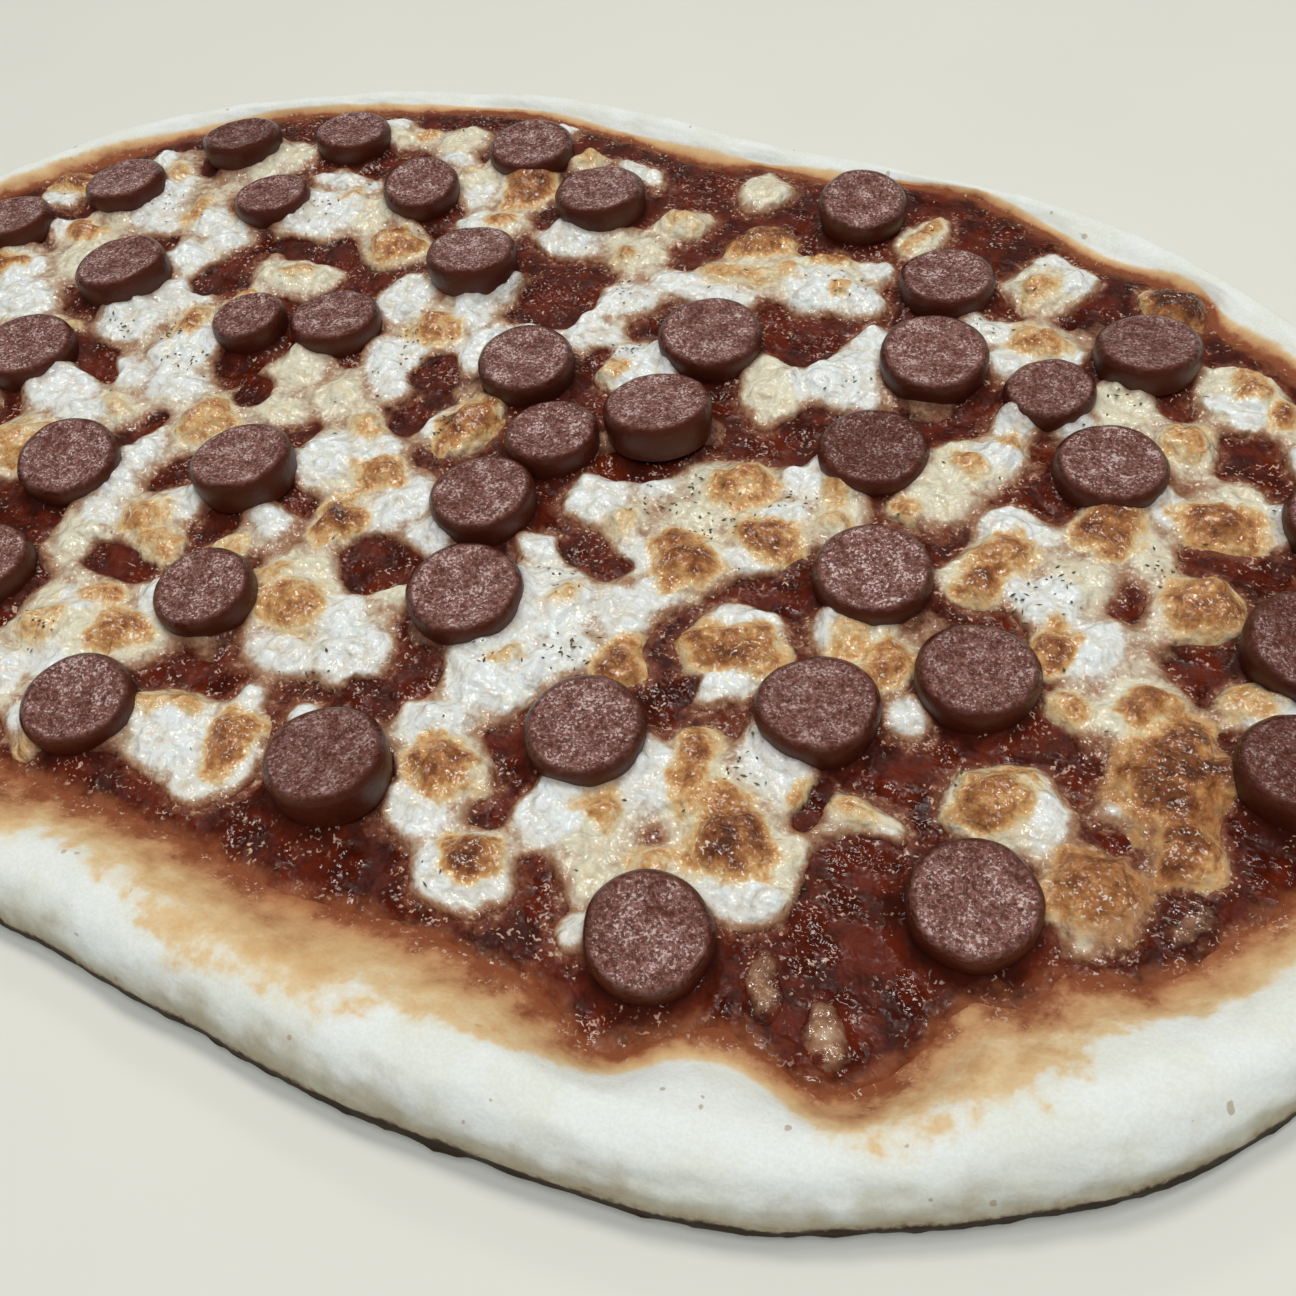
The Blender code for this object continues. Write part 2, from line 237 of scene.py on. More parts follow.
# The dough: one piece of bread, stretched by hand and baked on a tray. It is a loft round the oval,
# from under the sauce, up over the rim and down to its flat underside. The rim is pale with flour,
# golden toward the sauce, and its low edge curls up a little off the tray.
CRUST_EDGE = [
    (213, 0), (210, 32), (199, 60), (183, 80), (163, 95), (142, 109), (118, 120), (88, 128),
    (52, 132), (18, 133), (-16, 138), (-50, 140), (-88, 134), (-124, 120), (-154, 104),
    (-178, 81), (-197, 52), (-209, 22), (-213, -10), (-206, -46), (-190, -76), (-163, -100),
    (-128, -117), (-88, -127), (-45, -133), (0, -137), (38, -140), (74, -140), (108, -136),
    (140, -125), (170, -107), (192, -83), (206, -50),
]
SAUCE_EDGE = [
    (197, -8), (195, 18), (187, 46), (176, 66), (163, 79), (147, 89), (143, 99), (128, 103),
    (113, 107), (103, 114), (88, 121), (78, 125), (60, 126), (43, 122), (22, 124), (11, 121),
    (-15, 126), (-34, 129), (-57, 131), (-80, 126), (-121, 113), (-149, 94), (-159, 83),
    (-175, 66), (-187, 52), (-196, 28), (-199, -2), (-194, -33), (-178, -60), (-152, -80),
    (-120, -94), (-85, -104), (-50, -108), (-10, -109), (22, -112), (45, -110), (66, -111),
    (76, -114), (84, -118), (91, -116), (99, -109), (108, -108), (120, -112), (130, -107),
    (136, -97), (139, -89), (147, -87), (153, -79), (166, -75), (176, -63), (186, -49),
    (193, -31),
]
# Where the golden part of the rim ends and the floury part begins.
GOLDEN_EDGE = [
    (202, -10), (199, 20), (190, 48), (179, 68), (165, 83), (149, 93), (138, 104), (118, 108.5),
    (100, 118), (80, 126.5), (50, 126.5), (18, 125), (-16, 128.5), (-50, 133), (-88, 127),
    (-124, 114.5), (-154, 94), (-180, 69), (-195, 46), (-204, 20), (-207, -10), (-201, -40),
    (-186, -67), (-158, -89), (-122, -106), (-85, -117), (-55, -124), (-32, -127), (-25, -120),
    (-10, -123), (4, -128), (11, -134), (26, -132), (42, -134), (50, -129), (62, -127),
    (76, -125), (90, -123), (98, -116), (110, -114), (122, -119), (135, -121), (148, -112),
    (155, -106), (161, -97), (165, -88), (174, -81), (181, -73), (191, -58), (199, -38),
]
DOUGH_STATIONS = 1130
OUTLINE_STEPS = 420
GOLDEN_STEPS = 260
FLOOR_TOP = 7.2
SAUCE_TOP = 9.5
SAUCE_LIP = 0.6
RIM_BASE_HEIGHT = 8.6
RIM_RISE = 0.32
RIM_UNEVENNESS = 0.05
STEPS_A_KNOT = 6
SHELF = 7.0
WIDEST_RIM = 60
LOOK_ASIDE = 15
CURL = 2.0
CURL_DEPTH = 11.0
# The knot of the section where the low edge is frilled, and how many knots up and down from it.
LIP_KNOT = 10
LIP_REACH = 0.9
# The flour fades in over this many mm, and a golden band as broad as this has its full patches.
FLOUR_FADE = 8
GOLDEN_BROAD = 14
GOLDEN_NARROWEST = 0.12
# The golden part is paler at the near right, from the first x and -y to the second.
WASHED = 0.26
WASHED_X = (118, 142)
WASHED_Y = (70, 92)
RIM_GOLDS = [
    (0.0, (0.42, 0.165, 0.060)), (0.07, (0.55, 0.265, 0.105)), (0.20, (0.69, 0.42, 0.20)),
    (0.55, (0.75, 0.50, 0.25)), (0.84, (0.80, 0.61, 0.36)), (1.0, (0.83, 0.73, 0.54)),
]
RIM_PALE = (0.83, 0.86, 0.79)
RIM_FLOUR = (0.87, 0.91, 0.885)
RIM_PAINTED_SHADE = (0.50, 0.44, 0.31)
RIM_BROWN = (0.34, 0.24, 0.14)
RIM_SCORCH_AND_SHADOW = (0.035, 0.020, 0.010)
RIM_GRAIN = (0.62, 0.52, 0.40)
RIM_BAKED = (0.44, 0.180, 0.080)
RIM_SAUCY = (0.22, 0.052, 0.018)
RIM_SPECKS = (0.36, 0.22, 0.10)
RIM_PAINTED_GLINT = (0.84, 0.68, 0.55)


def smooth_line(points, steps=24):
    """A closed curve through the points."""
    here = np.array(points, float)
    last, after, beyond = np.roll(here, 1, 0), np.roll(here, -1, 0), np.roll(here, -2, 0)
    t = np.arange(steps)[:, None, None] / steps
    curve = here + (after - last) / 2 * t
    curve = curve + (last - 2.5 * here + 2 * after - beyond / 2) * t**2
    curve = curve + (1.5 * here - last / 2 - 1.5 * after + beyond / 2) * t**3
    return curve.transpose(1, 0, 2).reshape(-1, 2)


def even_steps(line, count):
    closed = np.vstack([line, line[:1]])
    along = np.concatenate([[0], np.cumsum(np.hypot(*np.diff(closed, axis=0).T))])
    wanted = np.arange(count) / count * along[-1]
    return np.stack([np.interp(wanted, along, closed[:, k]) for k in (0, 1)], axis=1)


def blur_round(values, reach):
    """Evens out what runs once round the oval."""
    shifts = range(-3 * reach, 3 * reach + 1)
    weights = np.exp(-0.5 * (np.array(shifts) / reach) ** 2)
    return sum(w * np.roll(values, k, 0) for k, w in zip(shifts, weights / weights.sum()))


def ripples(size, seed, x, y):
    """Smooth noise from -1 to 1 over the plan, with bumps of a size in mm."""
    table = np.random.default_rng(seed).uniform(-1, 1, (256, 256))
    turn = 0.7 + 1.3 * seed
    u = (x * math.cos(turn) + y * math.sin(turn)) / size + 100
    v = (y * math.cos(turn) - x * math.sin(turn)) / size + 100
    i, j = np.floor(u).astype(int), np.floor(v).astype(int)
    f, g = u - i, v - j
    f, g = f * f * (3 - 2 * f), g * g * (3 - 2 * g)
    low = table[i % 256, j % 256] * (1 - f) + table[(i + 1) % 256, j % 256] * f
    high = table[i % 256, (j + 1) % 256] * (1 - f) + table[(i + 1) % 256, (j + 1) % 256] * f
    return low * (1 - g) + high * g


def add_ripples(values, x, y, *layers):
    """Values with layers of ripples added. A layer is its height, its size in mm and its seed."""
    for tall, size, seed in layers:
        values = values + tall * ripples(size, seed, x, y)
    return values


def ease(values, low, high):
    """0 below low, 1 above high, and smooth between."""
    t = np.clip((values - low) / (high - low), 0, 1)
    return t * t * (3 - 2 * t)


def depth_inside(line, x, y):
    """How far inside a closed line each place is in mm, and less than nothing outside it."""
    inside = np.zeros(x.shape, bool)
    nearest = np.full(x.shape, 1e9)
    for (ax, ay), (bx, by) in zip(line, np.roll(line, -1, 0)):
        if ay != by:
            inside ^= ((ay > y) != (by > y)) & (x < (bx - ax) * (y - ay) / (by - ay) + ax)
        length = (bx - ax) ** 2 + (by - ay) ** 2
        t = np.clip(((x - ax) * (bx - ax) + (y - ay) * (by - ay)) / length, 0, 1)
        nearest = np.minimum(nearest, (x - ax - t * (bx - ax)) ** 2 + (y - ay - t * (by - ay)) ** 2)
    return np.where(inside, 1, -1) * np.sqrt(nearest)


def curve_through(knots, steps):
    """Rows of points along a curve through rows of knots."""
    rows = []
    for k in range(len(knots) - 1):
        before, here, after = knots[max(k - 1, 0)], knots[k], knots[k + 1]
        beyond = knots[min(k + 2, len(knots) - 1)]
        for t in np.arange(steps) / steps:
            bend = here + (after - before) / 2 * t
            bend = bend + (before - 2.5 * here + 2 * after - beyond / 2) * t**2
            rows.append(bend + (1.5 * here - before / 2 - 1.5 * after + beyond / 2) * t**3)
    return np.array(rows + [knots[-1]])


edge = even_steps(smooth_line(CRUST_EDGE), DOUGH_STATIONS)
ahead = np.roll(edge, -3, 0) - np.roll(edge, 3, 0)
ahead = blur_round(ahead / np.hypot(*ahead.T)[:, None], 6)
ahead /= np.hypot(*ahead.T)[:, None]
aim = np.stack([-ahead[:, 1], ahead[:, 0]], axis=1)
sauce_line = smooth_line(SAUCE_EDGE)
sauce_outline = even_steps(sauce_line, OUTLINE_STEPS)
rim_width = []
for spot, direction in zip(edge, aim):
    deep = (sauce_line - spot) @ direction
    aside = (sauce_line - spot) @ np.array([direction[1], -direction[0]])
    near = (deep < WIDEST_RIM) & (abs(aside) < LOOK_ASIDE)
    order = np.argsort(aside[near])
    rim_width.append(np.interp(0, aside[near][order], deep[near][order]))
rim_width = blur_round(np.array(rim_width), 2)
broad = blur_round(rim_width, 14)
round_share = np.arange(DOUGH_STATIONS) / DOUGH_STATIONS * math.tau
uneven = np.sin(5 * round_share + 1) + 0.7 * np.sin(9 * round_share) + 0.5 * np.sin(16 * round_share + 2)
rim_top = (RIM_BASE_HEIGHT + RIM_RISE * broad) * (1 + RIM_UNEVENNESS * uneven / 2)
crown = np.minimum(0.75 * rim_top, 0.45 * broad)
foot = SAUCE_TOP - SAUCE_LIP
none = 0 * rim_top
curl = CURL * add_ripples(1, *edge.T, (0.45, 9, 61), (0.3, 3.5, 62))

# Each section runs from the shelf under the sauce, up the slope, over the crown and down outside.
knots = np.array([
    (rim_width + SHELF, none + FLOOR_TOP),
    (rim_width + 2.5, none + foot - 0.7),
    (rim_width, none + foot),
    (crown + 0.7 * (rim_width - crown), foot + 0.25 * (rim_top - foot)),
    (crown + 0.35 * (rim_width - crown), foot + 0.72 * (rim_top - foot)),
    (crown, rim_top),
    (0.5 * crown, rim_top - 0.1 * (rim_top - foot)),
    (0.12 * rim_top, 0.72 * rim_top),
    (0.03 * rim_top, 0.46 * rim_top),
    (none, 0.22 * rim_top),
    (0.02 * rim_top, 0.10 * rim_top + 0.55 * curl),
    (0.12 * rim_top, 0.06 * rim_top + 0.5 * curl),
    (0.35 * rim_top, 0.7 * curl),
    (0.12 * rim_top + CURL_DEPTH, none),
]).transpose(0, 2, 1)
section = curve_through(knots, STEPS_A_KNOT)
inset, height = section[..., 0], np.maximum(section[..., 1], 0)
flat = edge[None] + aim[None] * inset[..., None]
px, py = flat[..., 0], flat[..., 1]
outer = ease(crown[None] - inset, 0, 6)
swell = 0.60 * ripples(17, 3, px, py) + 0.30 * ripples(6.5, 4, px, py + 3 * height)
swell = swell + 0.13 * ripples(2.6, 5, px + height, py + 2 * height)
swell = swell + 0.06 * ripples(1.3, 6, px, py + height)
swell = swell * ease(rim_width[None] - inset, -1, 5) * ease(height, 0.3, 3.0)
height = height + swell * (1 - 0.7 * outer)
along = np.repeat((np.arange(len(section)) / STEPS_A_KNOT)[:, None], DOUGH_STATIONS, 1)
frill = add_ripples(0, px, py, (0.5, 9, 7), (0.5, 3.2, 8), (0.25, 1.5, 9))
frill = frill * np.clip(1 - abs(along - LIP_KNOT) / LIP_REACH, 0, 1)
flat = flat - aim[None] * (swell * outer * 0.9 + frill)[..., None]
dough_points = np.concatenate([flat, np.maximum(height, 0)[..., None]], axis=-1)
rows, columns = height.shape
grid = np.arange(rows * columns).reshape(rows, columns)
strips = np.stack([grid[:-1], np.roll(grid, -1, 1)[:-1], np.roll(grid, -1, 1)[1:], grid[1:]], axis=-1)
fan = [(grid[-1][k], grid[-1][(k + 1) % columns], rows * columns) for k in range(columns)]
# The golden share runs from 0 at the sauce to 1 where the flour begins.
golden_line = even_steps(smooth_line(GOLDEN_EDGE), GOLDEN_STEPS)
px, py = flat[..., 0], flat[..., 1]
from_sauce = -depth_inside(sauce_outline, px, py)
to_flour = depth_inside(golden_line, px, py)
golden = from_sauce / np.maximum(from_sauce + to_flour, 0.1)
golden = np.where(to_flour > 0, golden, 1 - to_flour / FLOUR_FADE)
golden = golden + WASHED * ease(px, *WASHED_X) * ease(-py, *WASHED_Y)
loose = np.clip((from_sauce + to_flour) / GOLDEN_BROAD, GOLDEN_NARROWEST, 1)


def dough_finish():
    made = Finish("baked_dough")
    share, sauce_by, down = made.measure("golden"), made.measure("from_sauce"), made.measure("down")
    wide, fine = made.noise(6, 3, 0.55) - 0.5, made.noise(1.6, 3, 0.65) - 0.5
    broad = made.noise(24, 2) - 0.5
    wander = (wide * 1.5 + broad * 0.9 + fine * 0.25) * share.step(0.0, 0.6) * made.measure("loose")
    gold = made.node("ShaderNodeValToRGB", {"stops": RIM_GOLDS}, {"Fac": share + wander})
    pale = made.blend(made.noise(13, 3).step(0.40, 0.62), RIM_PALE, RIM_FLOUR)
    # The low outer side of the rim is painted darker: painted shade.
    pale = made.blend((down + wide * 2.2 + broad * 2.0).step(6.3, 8.3) * 0.95, pale, RIM_PAINTED_SHADE)
    tight = (1 - made.measure("loose")) * 0.30
    colour = made.blend((share + tight * 0.7 + wander * 0.7).step(0.86, 1.18), gold, pale)
    grain = made.blend(made.noise(0.7, 2, 0.7).step(0.3, 0.7), RIM_GRAIN, (1, 1, 1))
    colour = made.blend(0.16, colour, grain, "MULTIPLY")
    baked = sauce_by + wide * 12 + fine * 4 + broad * 16
    colour = made.blend((1 - baked.step(0.5, 11.0)) * 0.82, colour, RIM_BAKED)
    colour = made.blend((1 - (baked + fine * 3).step(-0.5, 5.0)) * 0.85, colour, RIM_SAUCY)
    specks = made.noise(3.4, 1).step(0.745, 0.76) * share.step(0.5, 1.1)
    colour = made.blend(specks * 0.55, colour, RIM_SPECKS)
    colour = made.blend((down + fine * 1.2 + wide * 0.9).step(7.9, 8.5) * 0.7, colour, RIM_BROWN)
    # The lowest seen band of the rim is painted near black: scorched crust, and painted shadow of the
    # gap under the curl.
    colour = made.blend((down + fine * 0.5 + wide * 0.5).step(8.25, 8.55), colour, RIM_SCORCH_AND_SHADOW)
    # Painted glints on the golden band near the sauce.
    glint = made.glitter(1.3) * (1 - baked.step(1.0, 6.0)) * made.noise(4, 2).step(0.45, 0.6)
    colour = made.blend(glint * 0.55, colour, RIM_PAINTED_GLINT)
    return made.done(
        Base_Color=colour, Roughness=0.74, Specular_IOR_Level=0.25,
        Normal=made.bumps(made.noise(2.4, 5, 0.6), 0.22),
        Subsurface_Weight=0.10, Subsurface_Radius=(1.0, 0.7, 0.4), Subsurface_Scale=2.0 * MM,
    )


dough = make_piece(
    "dough_baked", np.vstack([dough_points.reshape(-1, 3), [(0, 0, 0)]]),
    strips.reshape(-1, 4).tolist() + fan, dough_finish(),
    golden=np.append(golden, 3), from_sauce=np.append(from_sauce / loose, 9),
    down=np.append(along, 13), loose=np.append(loose, 1),
)
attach(dough, "root")
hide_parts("dough")


# The sauce: crushed tomato, baked dark and nearly dry, with fat and painted glints. It lies in the
# dough's floor as a lumpy layer with a ragged edge, and creeps up round the sausage, where a stain
# and painted shade darken it. The mozzarella left a thin film over most of it, so the places of the
# cheese come here.

# Where the cheese is white, cream and blistered. Each oval is x, y, two half widths and a turn,
# and a blister ends with how brown it is.
WHITE = [
    (-165, 54, 6, 3, 0), (-155, 43, 4, 4, 0), (-146, 80, 4, 5, 0), (-133, 68, 5, 8, 20),
    (-132, 57, 6, 6, 0), (-115, 58, 6, 8, 0), (-104, 53, 7, 6, 0), (-126, 52, 4, 3, 0),
    (-90, 85, 10, 3, 0), (-85, 70, 10, 12, 0), (-87, 113, 5, 4, 0), (-61, 103, 6, 3, 0),
    (-46, 89, 3, 4, 0), (-77, 84, 2.5, 4, 0), (-37, 124, 2.5, 6, -45), (-8, 110, 10, 3.5, -25),
    (-37, 93, 4, 4, 0), (-41, 77, 5, 4, 0), (-13, 78, 10, 7, 0), (12, 60, 8, 7, 0),
    (10, 45, 8, 6, 0), (33, 67, 11, 4, 0), (22, 70, 8, 4, 0), (5, 52, 4, 8, 0),
    (-18, 54, 3, 8, -20), (-25, 47, 4, 4, 0), (-45, 47, 5, 7, 0), (113, 95, 4, 5, 0),
    (106, 101, 6, 3, 0), (57, 75, 8, 8, 0), (67, 87, 5, 5, 0), (66, 74, 7, 5, 0),
    (118, 69, 4, 4, 0), (98, 73, 7, 3, 0), (105, 63, 6, 5, 0), (75, 62, 5, 6, 0),
    (70, 50, 9, 8, 0), (137, 89, 4, 2, 0), (125, 45, 4, 4, 0), (112, 44, 6, 4, 0),
    (150, 62, 3, 3, 0), (157, 60, 4, 3, 0), (-145, 13, 10, 8, 0), (-110, 42, 8, 5, 0),
    (-110, 15, 10, 8, 0), (-103, 28, 6, 7, 0), (-97, 30, 3, 4, 0), (-88, 10, 9, 9, 0),
    (-97, -2, 7, 5, 0), (-82, -2, 10, 6, 0), (-110, -13, 9, 7, 0), (-100, -19, 6, 4, 0),
    (-75, -25, 5, 7, 0), (-75, -36, 5, 5, 0), (-72, -45, 5, 4, 0), (-56, -36, 6, 5, 0),
    (-42, 42, 7, 8, 0), (-24, 44, 5, 8, 0), (-34, 22, 7, 10, 0), (-28, 14, 4, 5, 0),
    (-15, 32, 6, 10, 0), (-5, 42, 8, 4, 0), (-14, 5, 3, 5, 0), (-20, -6, 5, 4, 0),
    (-30, -12, 7, 9, 0), (-7, -20, 6, 12, 0), (28, -22, 5, 4, 0), (33, -5, 6, 7, 0),
    (48, -17, 5, 6, 0), (43, 2, 5, 4, 0), (25, 36, 10, 10, 0), (4, -27, 6, 5, 0),
    (35, -35, 13, 10, 0), (45, -45, 6, 5, 0), (52, -32, 5, 5, 0), (-33, -35, 5, 4, 0),
    (72, 43, 14, 5, 0), (75, 16, 5, 7, 0), (73, 3, 5, 4, 0), (73, -12, 6, 4, 0),
    (57, -27, 5, 4, 0), (77, -27, 9, 4, 0), (92, -24, 3, 4, 0), (77, -44, 8, 4, 0),
    (55, -35, 4, 5, 0), (113, -40, 5, 4, 0), (112, 33, 6, 4, 0), (112, 42, 5, 3, 0),
    (120, 14, 10, 5, 0), (130, -3, 7, 6, 0), (140, -12, 7, 7, 0), (147, 28, 4, 6, 0),
    (169, 31, 4, 5, 0), (152, 3, 3, 5, 0), (174, -18, 4, 4, 0), (-60, -68, 5, 4, 0),
    (-57, -84, 8, 4, 0), (-46, -60, 4, 6, 0), (-3, -52, 5, 6, 0), (-10, -66, 10, 5, 0),
    (5, -60, 8, 8, 0), (-9, -78, 3, 3, 0), (3, -78, 3, 3, 0), (-20, -90, 9, 9, 0),
    (-3, -92, 3, 5, 0), (-10, -98, 5, 4, 0), (-52, -97, 4, 4, 0), (35, -55, 12, 11, 0),
    (28, -70, 8, 6, 0), (35, -89, 8, 5, 0), (50, -97, 9.5, 8.5, 0), (59, -79, 6.5, 7, 0),
    (73, -101, 4, 3, 0), (73, -67, 5, 10, 20), (94, -57, 11, 4.5, -40), (97, -86, 9, 4, 20),
    (143, -52, 4, 6, 0), (128, -52, 4, 6, 0), (152, -44, 3, 3, 0), (117, -66, 3, 2.5, 0),
]
CREAM = [
    (-147, 44, 11, 5, 0), (-112, 84, 4, 9, 0), (-108, 92, 6, 6, 0), (-81, 108, 5, 4, 0),
    (-63, 112, 8, 7, 0), (-50, 95, 6, 9, 0), (-72, 72, 8, 7, 0), (-57, 63, 9, 7, 0),
    (-35, 79, 10, 6, 0), (13, 92, 6.5, 6, 0), (6, 78, 8, 8, 0), (28, 111, 7, 8.5, 0),
    (-77, 44, 14, 7, 0), (74, 103, 5, 9, -15), (106, 92, 10, 9, 0), (54, 80, 13, 9, 0),
    (36, 78, 11, 5, 0), (110, 72, 10, 6, 0), (57, 44, 7, 6, 0), (132, 55, 8, 7, 0),
    (147, 47, 7, 7, 0), (155, 66, 11, 9, 0), (-140, 35, 8, 12, 0), (-92, -14, 9, 5, 0),
    (-55, 12, 9, 6, 0), (-52, -3, 8, 5, 0), (-67, -12, 7, 9, 0), (-40, 7, 8, 6, 0),
    (58, 38, 7, 12, 0), (57, 8, 9, 7, 0), (55, -3, 6, 5, 0), (102, 18, 6, 9, 0),
    (5, -44, 7, 4, 0), (-18, -44, 10, 4, 0), (112, -3, 4, 5, 0), (135, 4, 7, 6, 0),
    (147, 15, 5, 6, 0), (152, -24, 8, 10, 0), (160, 33, 8, 6, 0), (-72, -52, 8, 6, 0),
    (-59, -75, 12, 12, 0), (-44, -72, 10, 8, 0), (72, -90, 4, 7, 0), (105, -80, 5, 5, 0),
    (103, -72, 4, 4, 0), (114, -64, 6, 5, 0), (135, -51, 11, 9, 0), (153, -64, 6, 6, 0),
    (106, 29, 9, 7, 0),
    (-27, -13, 10, 9, 0), (60, -14, 9, 8, 0), (70, -2, 13, 6, 0), (77, -35, 11, 7, 0),
    (84, 6, 5, 9, 0), (102, -28, 7, 9, 0), (37, -78, 8, 7, 0), (-15, -52, 10, 8, 0),
    (67, -80, 8, 7, 0), (82, -66, 7, 10, 10), (94, -77, 10, 10, 0), (-106, -33, 10, 9, 0),
]
BLISTERS = [
    (-167, 63, 8, 5, 0, 0.8), (-147, 44, 5, 5, 0, 0.7), (-122, 60, 3, 8, 0, 0.5),
    (-138, 76, 3, 6, 30, 0.35), (-80, 78, 3, 5, 0, 0.35), (-76, 112, 3, 3, 0, 0.5),
    (-53, 98, 3, 3, 0, 0.35), (-57, 63, 8, 6, 0, 0.55), (-23, 110, 5, 5, 0, 0.4),
    (-33, 95, 6, 7, 0, 0.75), (-33, 80, 4, 3, 0, 0.5), (13, 92, 5, 5, 0, 0.3),
    (4, 75, 3, 3, 0, 0.6), (36, 90, 8, 6, 0, 0.75), (35, 75, 12, 4, 0, 0.35),
    (-77, 44, 4, 3, 0, 0.4), (74, 103, 2, 6, -15, 0.55), (105, 90, 5, 7, 0, 0.45),
    (55, 87, 6, 3, 0, 0.6), (47, 79, 4, 4, 0, 0.4), (62, 75, 3, 3, 0, 0.35),
    (110, 72, 7, 4.5, 0, 0.55), (136, 93, 8, 6.5, 0, 0.85), (147, 47, 6, 6, 0, 0.45),
    (157, 68, 5, 5, 0, 0.5), (165, 62, 4, 4, 0, 0.6), (-127, 9, 6, 3, -20, 0.5),
    (-93, 19, 4, 7, 0, 0.65), (-86, 31, 3, 3, 0, 0.5), (-92, -14, 6, 4, 0, 0.25),
    (-67, -12, 6, 9, 0, 0.5), (-107, -33, 9, 8, 0, 0.45), (-62, -42, 5, 5, 0, 0.55),
    (-54, -48, 6, 4, 0, 0.4), (-30, 35, 5, 5, -40, 0.6), (-5, 7, 7, 9, 0, 0.7),
    (-4, 3, 2.5, 2.5, 0, 0.9), (-28, -1, 6, 4, 0, 0.35), (-17, -14, 6, 5, 0, 0.65),
    (-18, -29, 6, 6, 0, 0.9), (42, -9, 5, 5, 0, 0.25), (56, -13, 5, 4, 0, 0.7),
    (18, 33, 4, 4, 0, 0.35), (40, -34, 4, 5, 0, 0.35), (57, -45, 5, 6, 0, 0.8),
    (-37, -44, 5, 2.5, 0, 0.4), (62, 9, 6, 6, 0, 0.6), (82, 13, 3, 6, 0, 0.45),
    (72, -5, 7, 4.5, 0, 0.75), (84, 2, 4, 4, 0, 0.3), (60, -18, 6, 6, 0, 0.75),
    (77, -35, 10, 5.5, 0, 0.7), (97, -25, 4, 6, 0, 0.45), (106, -29, 5, 6, 0, 0.6),
    (106, 27, 4, 3, 0, 0.45), (97, 12, 3, 3, 0, 0.45), (113, 37, 3.5, 3, 0, 0.6),
    (118, 5, 8, 6, 30, 0.6), (117, -4, 4, 5, 0, 0.75), (137, 18, 6, 6.5, 0, 0.8),
    (133, -15, 4, 6, 0, 0.75), (153, -22, 4, 4, 0, 0.7), (141, -27, 4, 4, 0, 0.45),
    (158, 26, 8, 5, 0, 0.7), (158, 5, 8, 7, 0, 0.65), (170, -15, 5, 4, 0, 0.4),
    (-63, -77, 6, 6, 0, 0.35), (-46, -72, 7, 5, 0, 0.65), (-57, -64, 4, 3, 0, 0.45),
    (-14, -54, 8, 6, 0, 0.6), (-22, -48, 4, 4, 0, 0.4), (-20, -83, 4, 3, 0, 0.4),
    (-27, -86, 3, 4, 0, 0.35), (-7, -88, 4.5, 7, 0, 0.75), (-47, -102, 3, 3, 0, 0.35),
    (35, -52, 3.5, 3.5, 0, 0.35), (35, -79, 7, 5, 0, 0.75), (50, -94, 5.5, 5, 0, 0.85),
    (68, -77, 4, 4, 0, 0.4), (80, -61, 4.5, 9, 20, 0.7), (102, -61, 4, 3, 0, 0.5),
    (92, -76, 8, 7, 0, 0.9), (88, -68, 4, 5, 0, 0.6), (81, -84, 4, 4, 0, 0.4),
    (132, -50, 7, 7, 0, 0.65), (161, -36, 9, 13, 0, 0.6), (165, -50, 6, 6, 0, 0.55),
    (153, -64, 8, 8, 0, 0.45), (168, -33, 3, 3, 0, 0.5), (112, -62, 4, 3, 0, 0.45),
]
# Thin smears of cheese and fat.
THIN = [
    (107, -97, 3.5, 8, 25), (118, -101, 4, 11, 28), (156, -74, 7, 5, 0), (168, -62, 6, 6, 0),
    (144, -33, 6, 5, 0), (70, -88, 7, 6, 0), (112, -20, 6, 8, 0), (150, -8, 6, 8, 0),
    (88, 30, 6, 4, 0), (148, 40, 8, 5, 0), (128, 30, 6, 5, 0), (-62, 4, 6, 7, 0),
    (-60, -8, 5, 6, 0), (-72, -20, 8, 7, 0), (-45, -30, 7, 6, 0), (-70, -60, 8, 5, 0),
    (-28, -68, 8, 6, 0), (-30, -95, 6, 4, 0), (18, -50, 6, 5, 0), (22, -75, 6, 6, 0),
    (-85, 55, 10, 5, 0), (-60, 85, 7, 5, 0), (-20, 95, 8, 5, 0), (-120, 75, 8, 7, 0),
    (-140, 55, 8, 7, 0), (-115, 95, 8, 7, 0), (-140, 85, 7, 6, 0), (46, 22, 7, 6, 0),
    (30, 12, 7, 6, 0), (-12, 18, 5, 6, 0), (92, 44, 7, 5, 0), (120, 78, 5, 6, 0),
]
# Where the cheese fried to a clear brown.
CLEAR = [(157, -61, 12, 11, 0), (163, -40, 9, 17, 0), (148, -38, 6, 8, 0), (136, 92, 8, 6, 0)]
# Lumps on the two ends, which get their white and their blister by a rule.
END_LUMPS = [
    (-185, 18, 8, 10, 0), (-187, -8, 7, 10, 0), (-168, -16, 9, 8, 0), (-156, 24, 9, 9, 0),
    (-147, -8, 9, 10, 0), (-132, -27, 9, 9, 0), (-137, -47, 9, 9, 0), (-168, -44, 9, 8, 0),
    (-140, -73, 7, 9, 0), (-108, -62, 10, 8, 0), (-101, -76, 8, 6, 0), (-112, -86, 7, 6, 0),
    (-70, -92, 10, 9, 0), (182, 14, 8, 8, 0), (174, 52, 7, 8, 0),
]
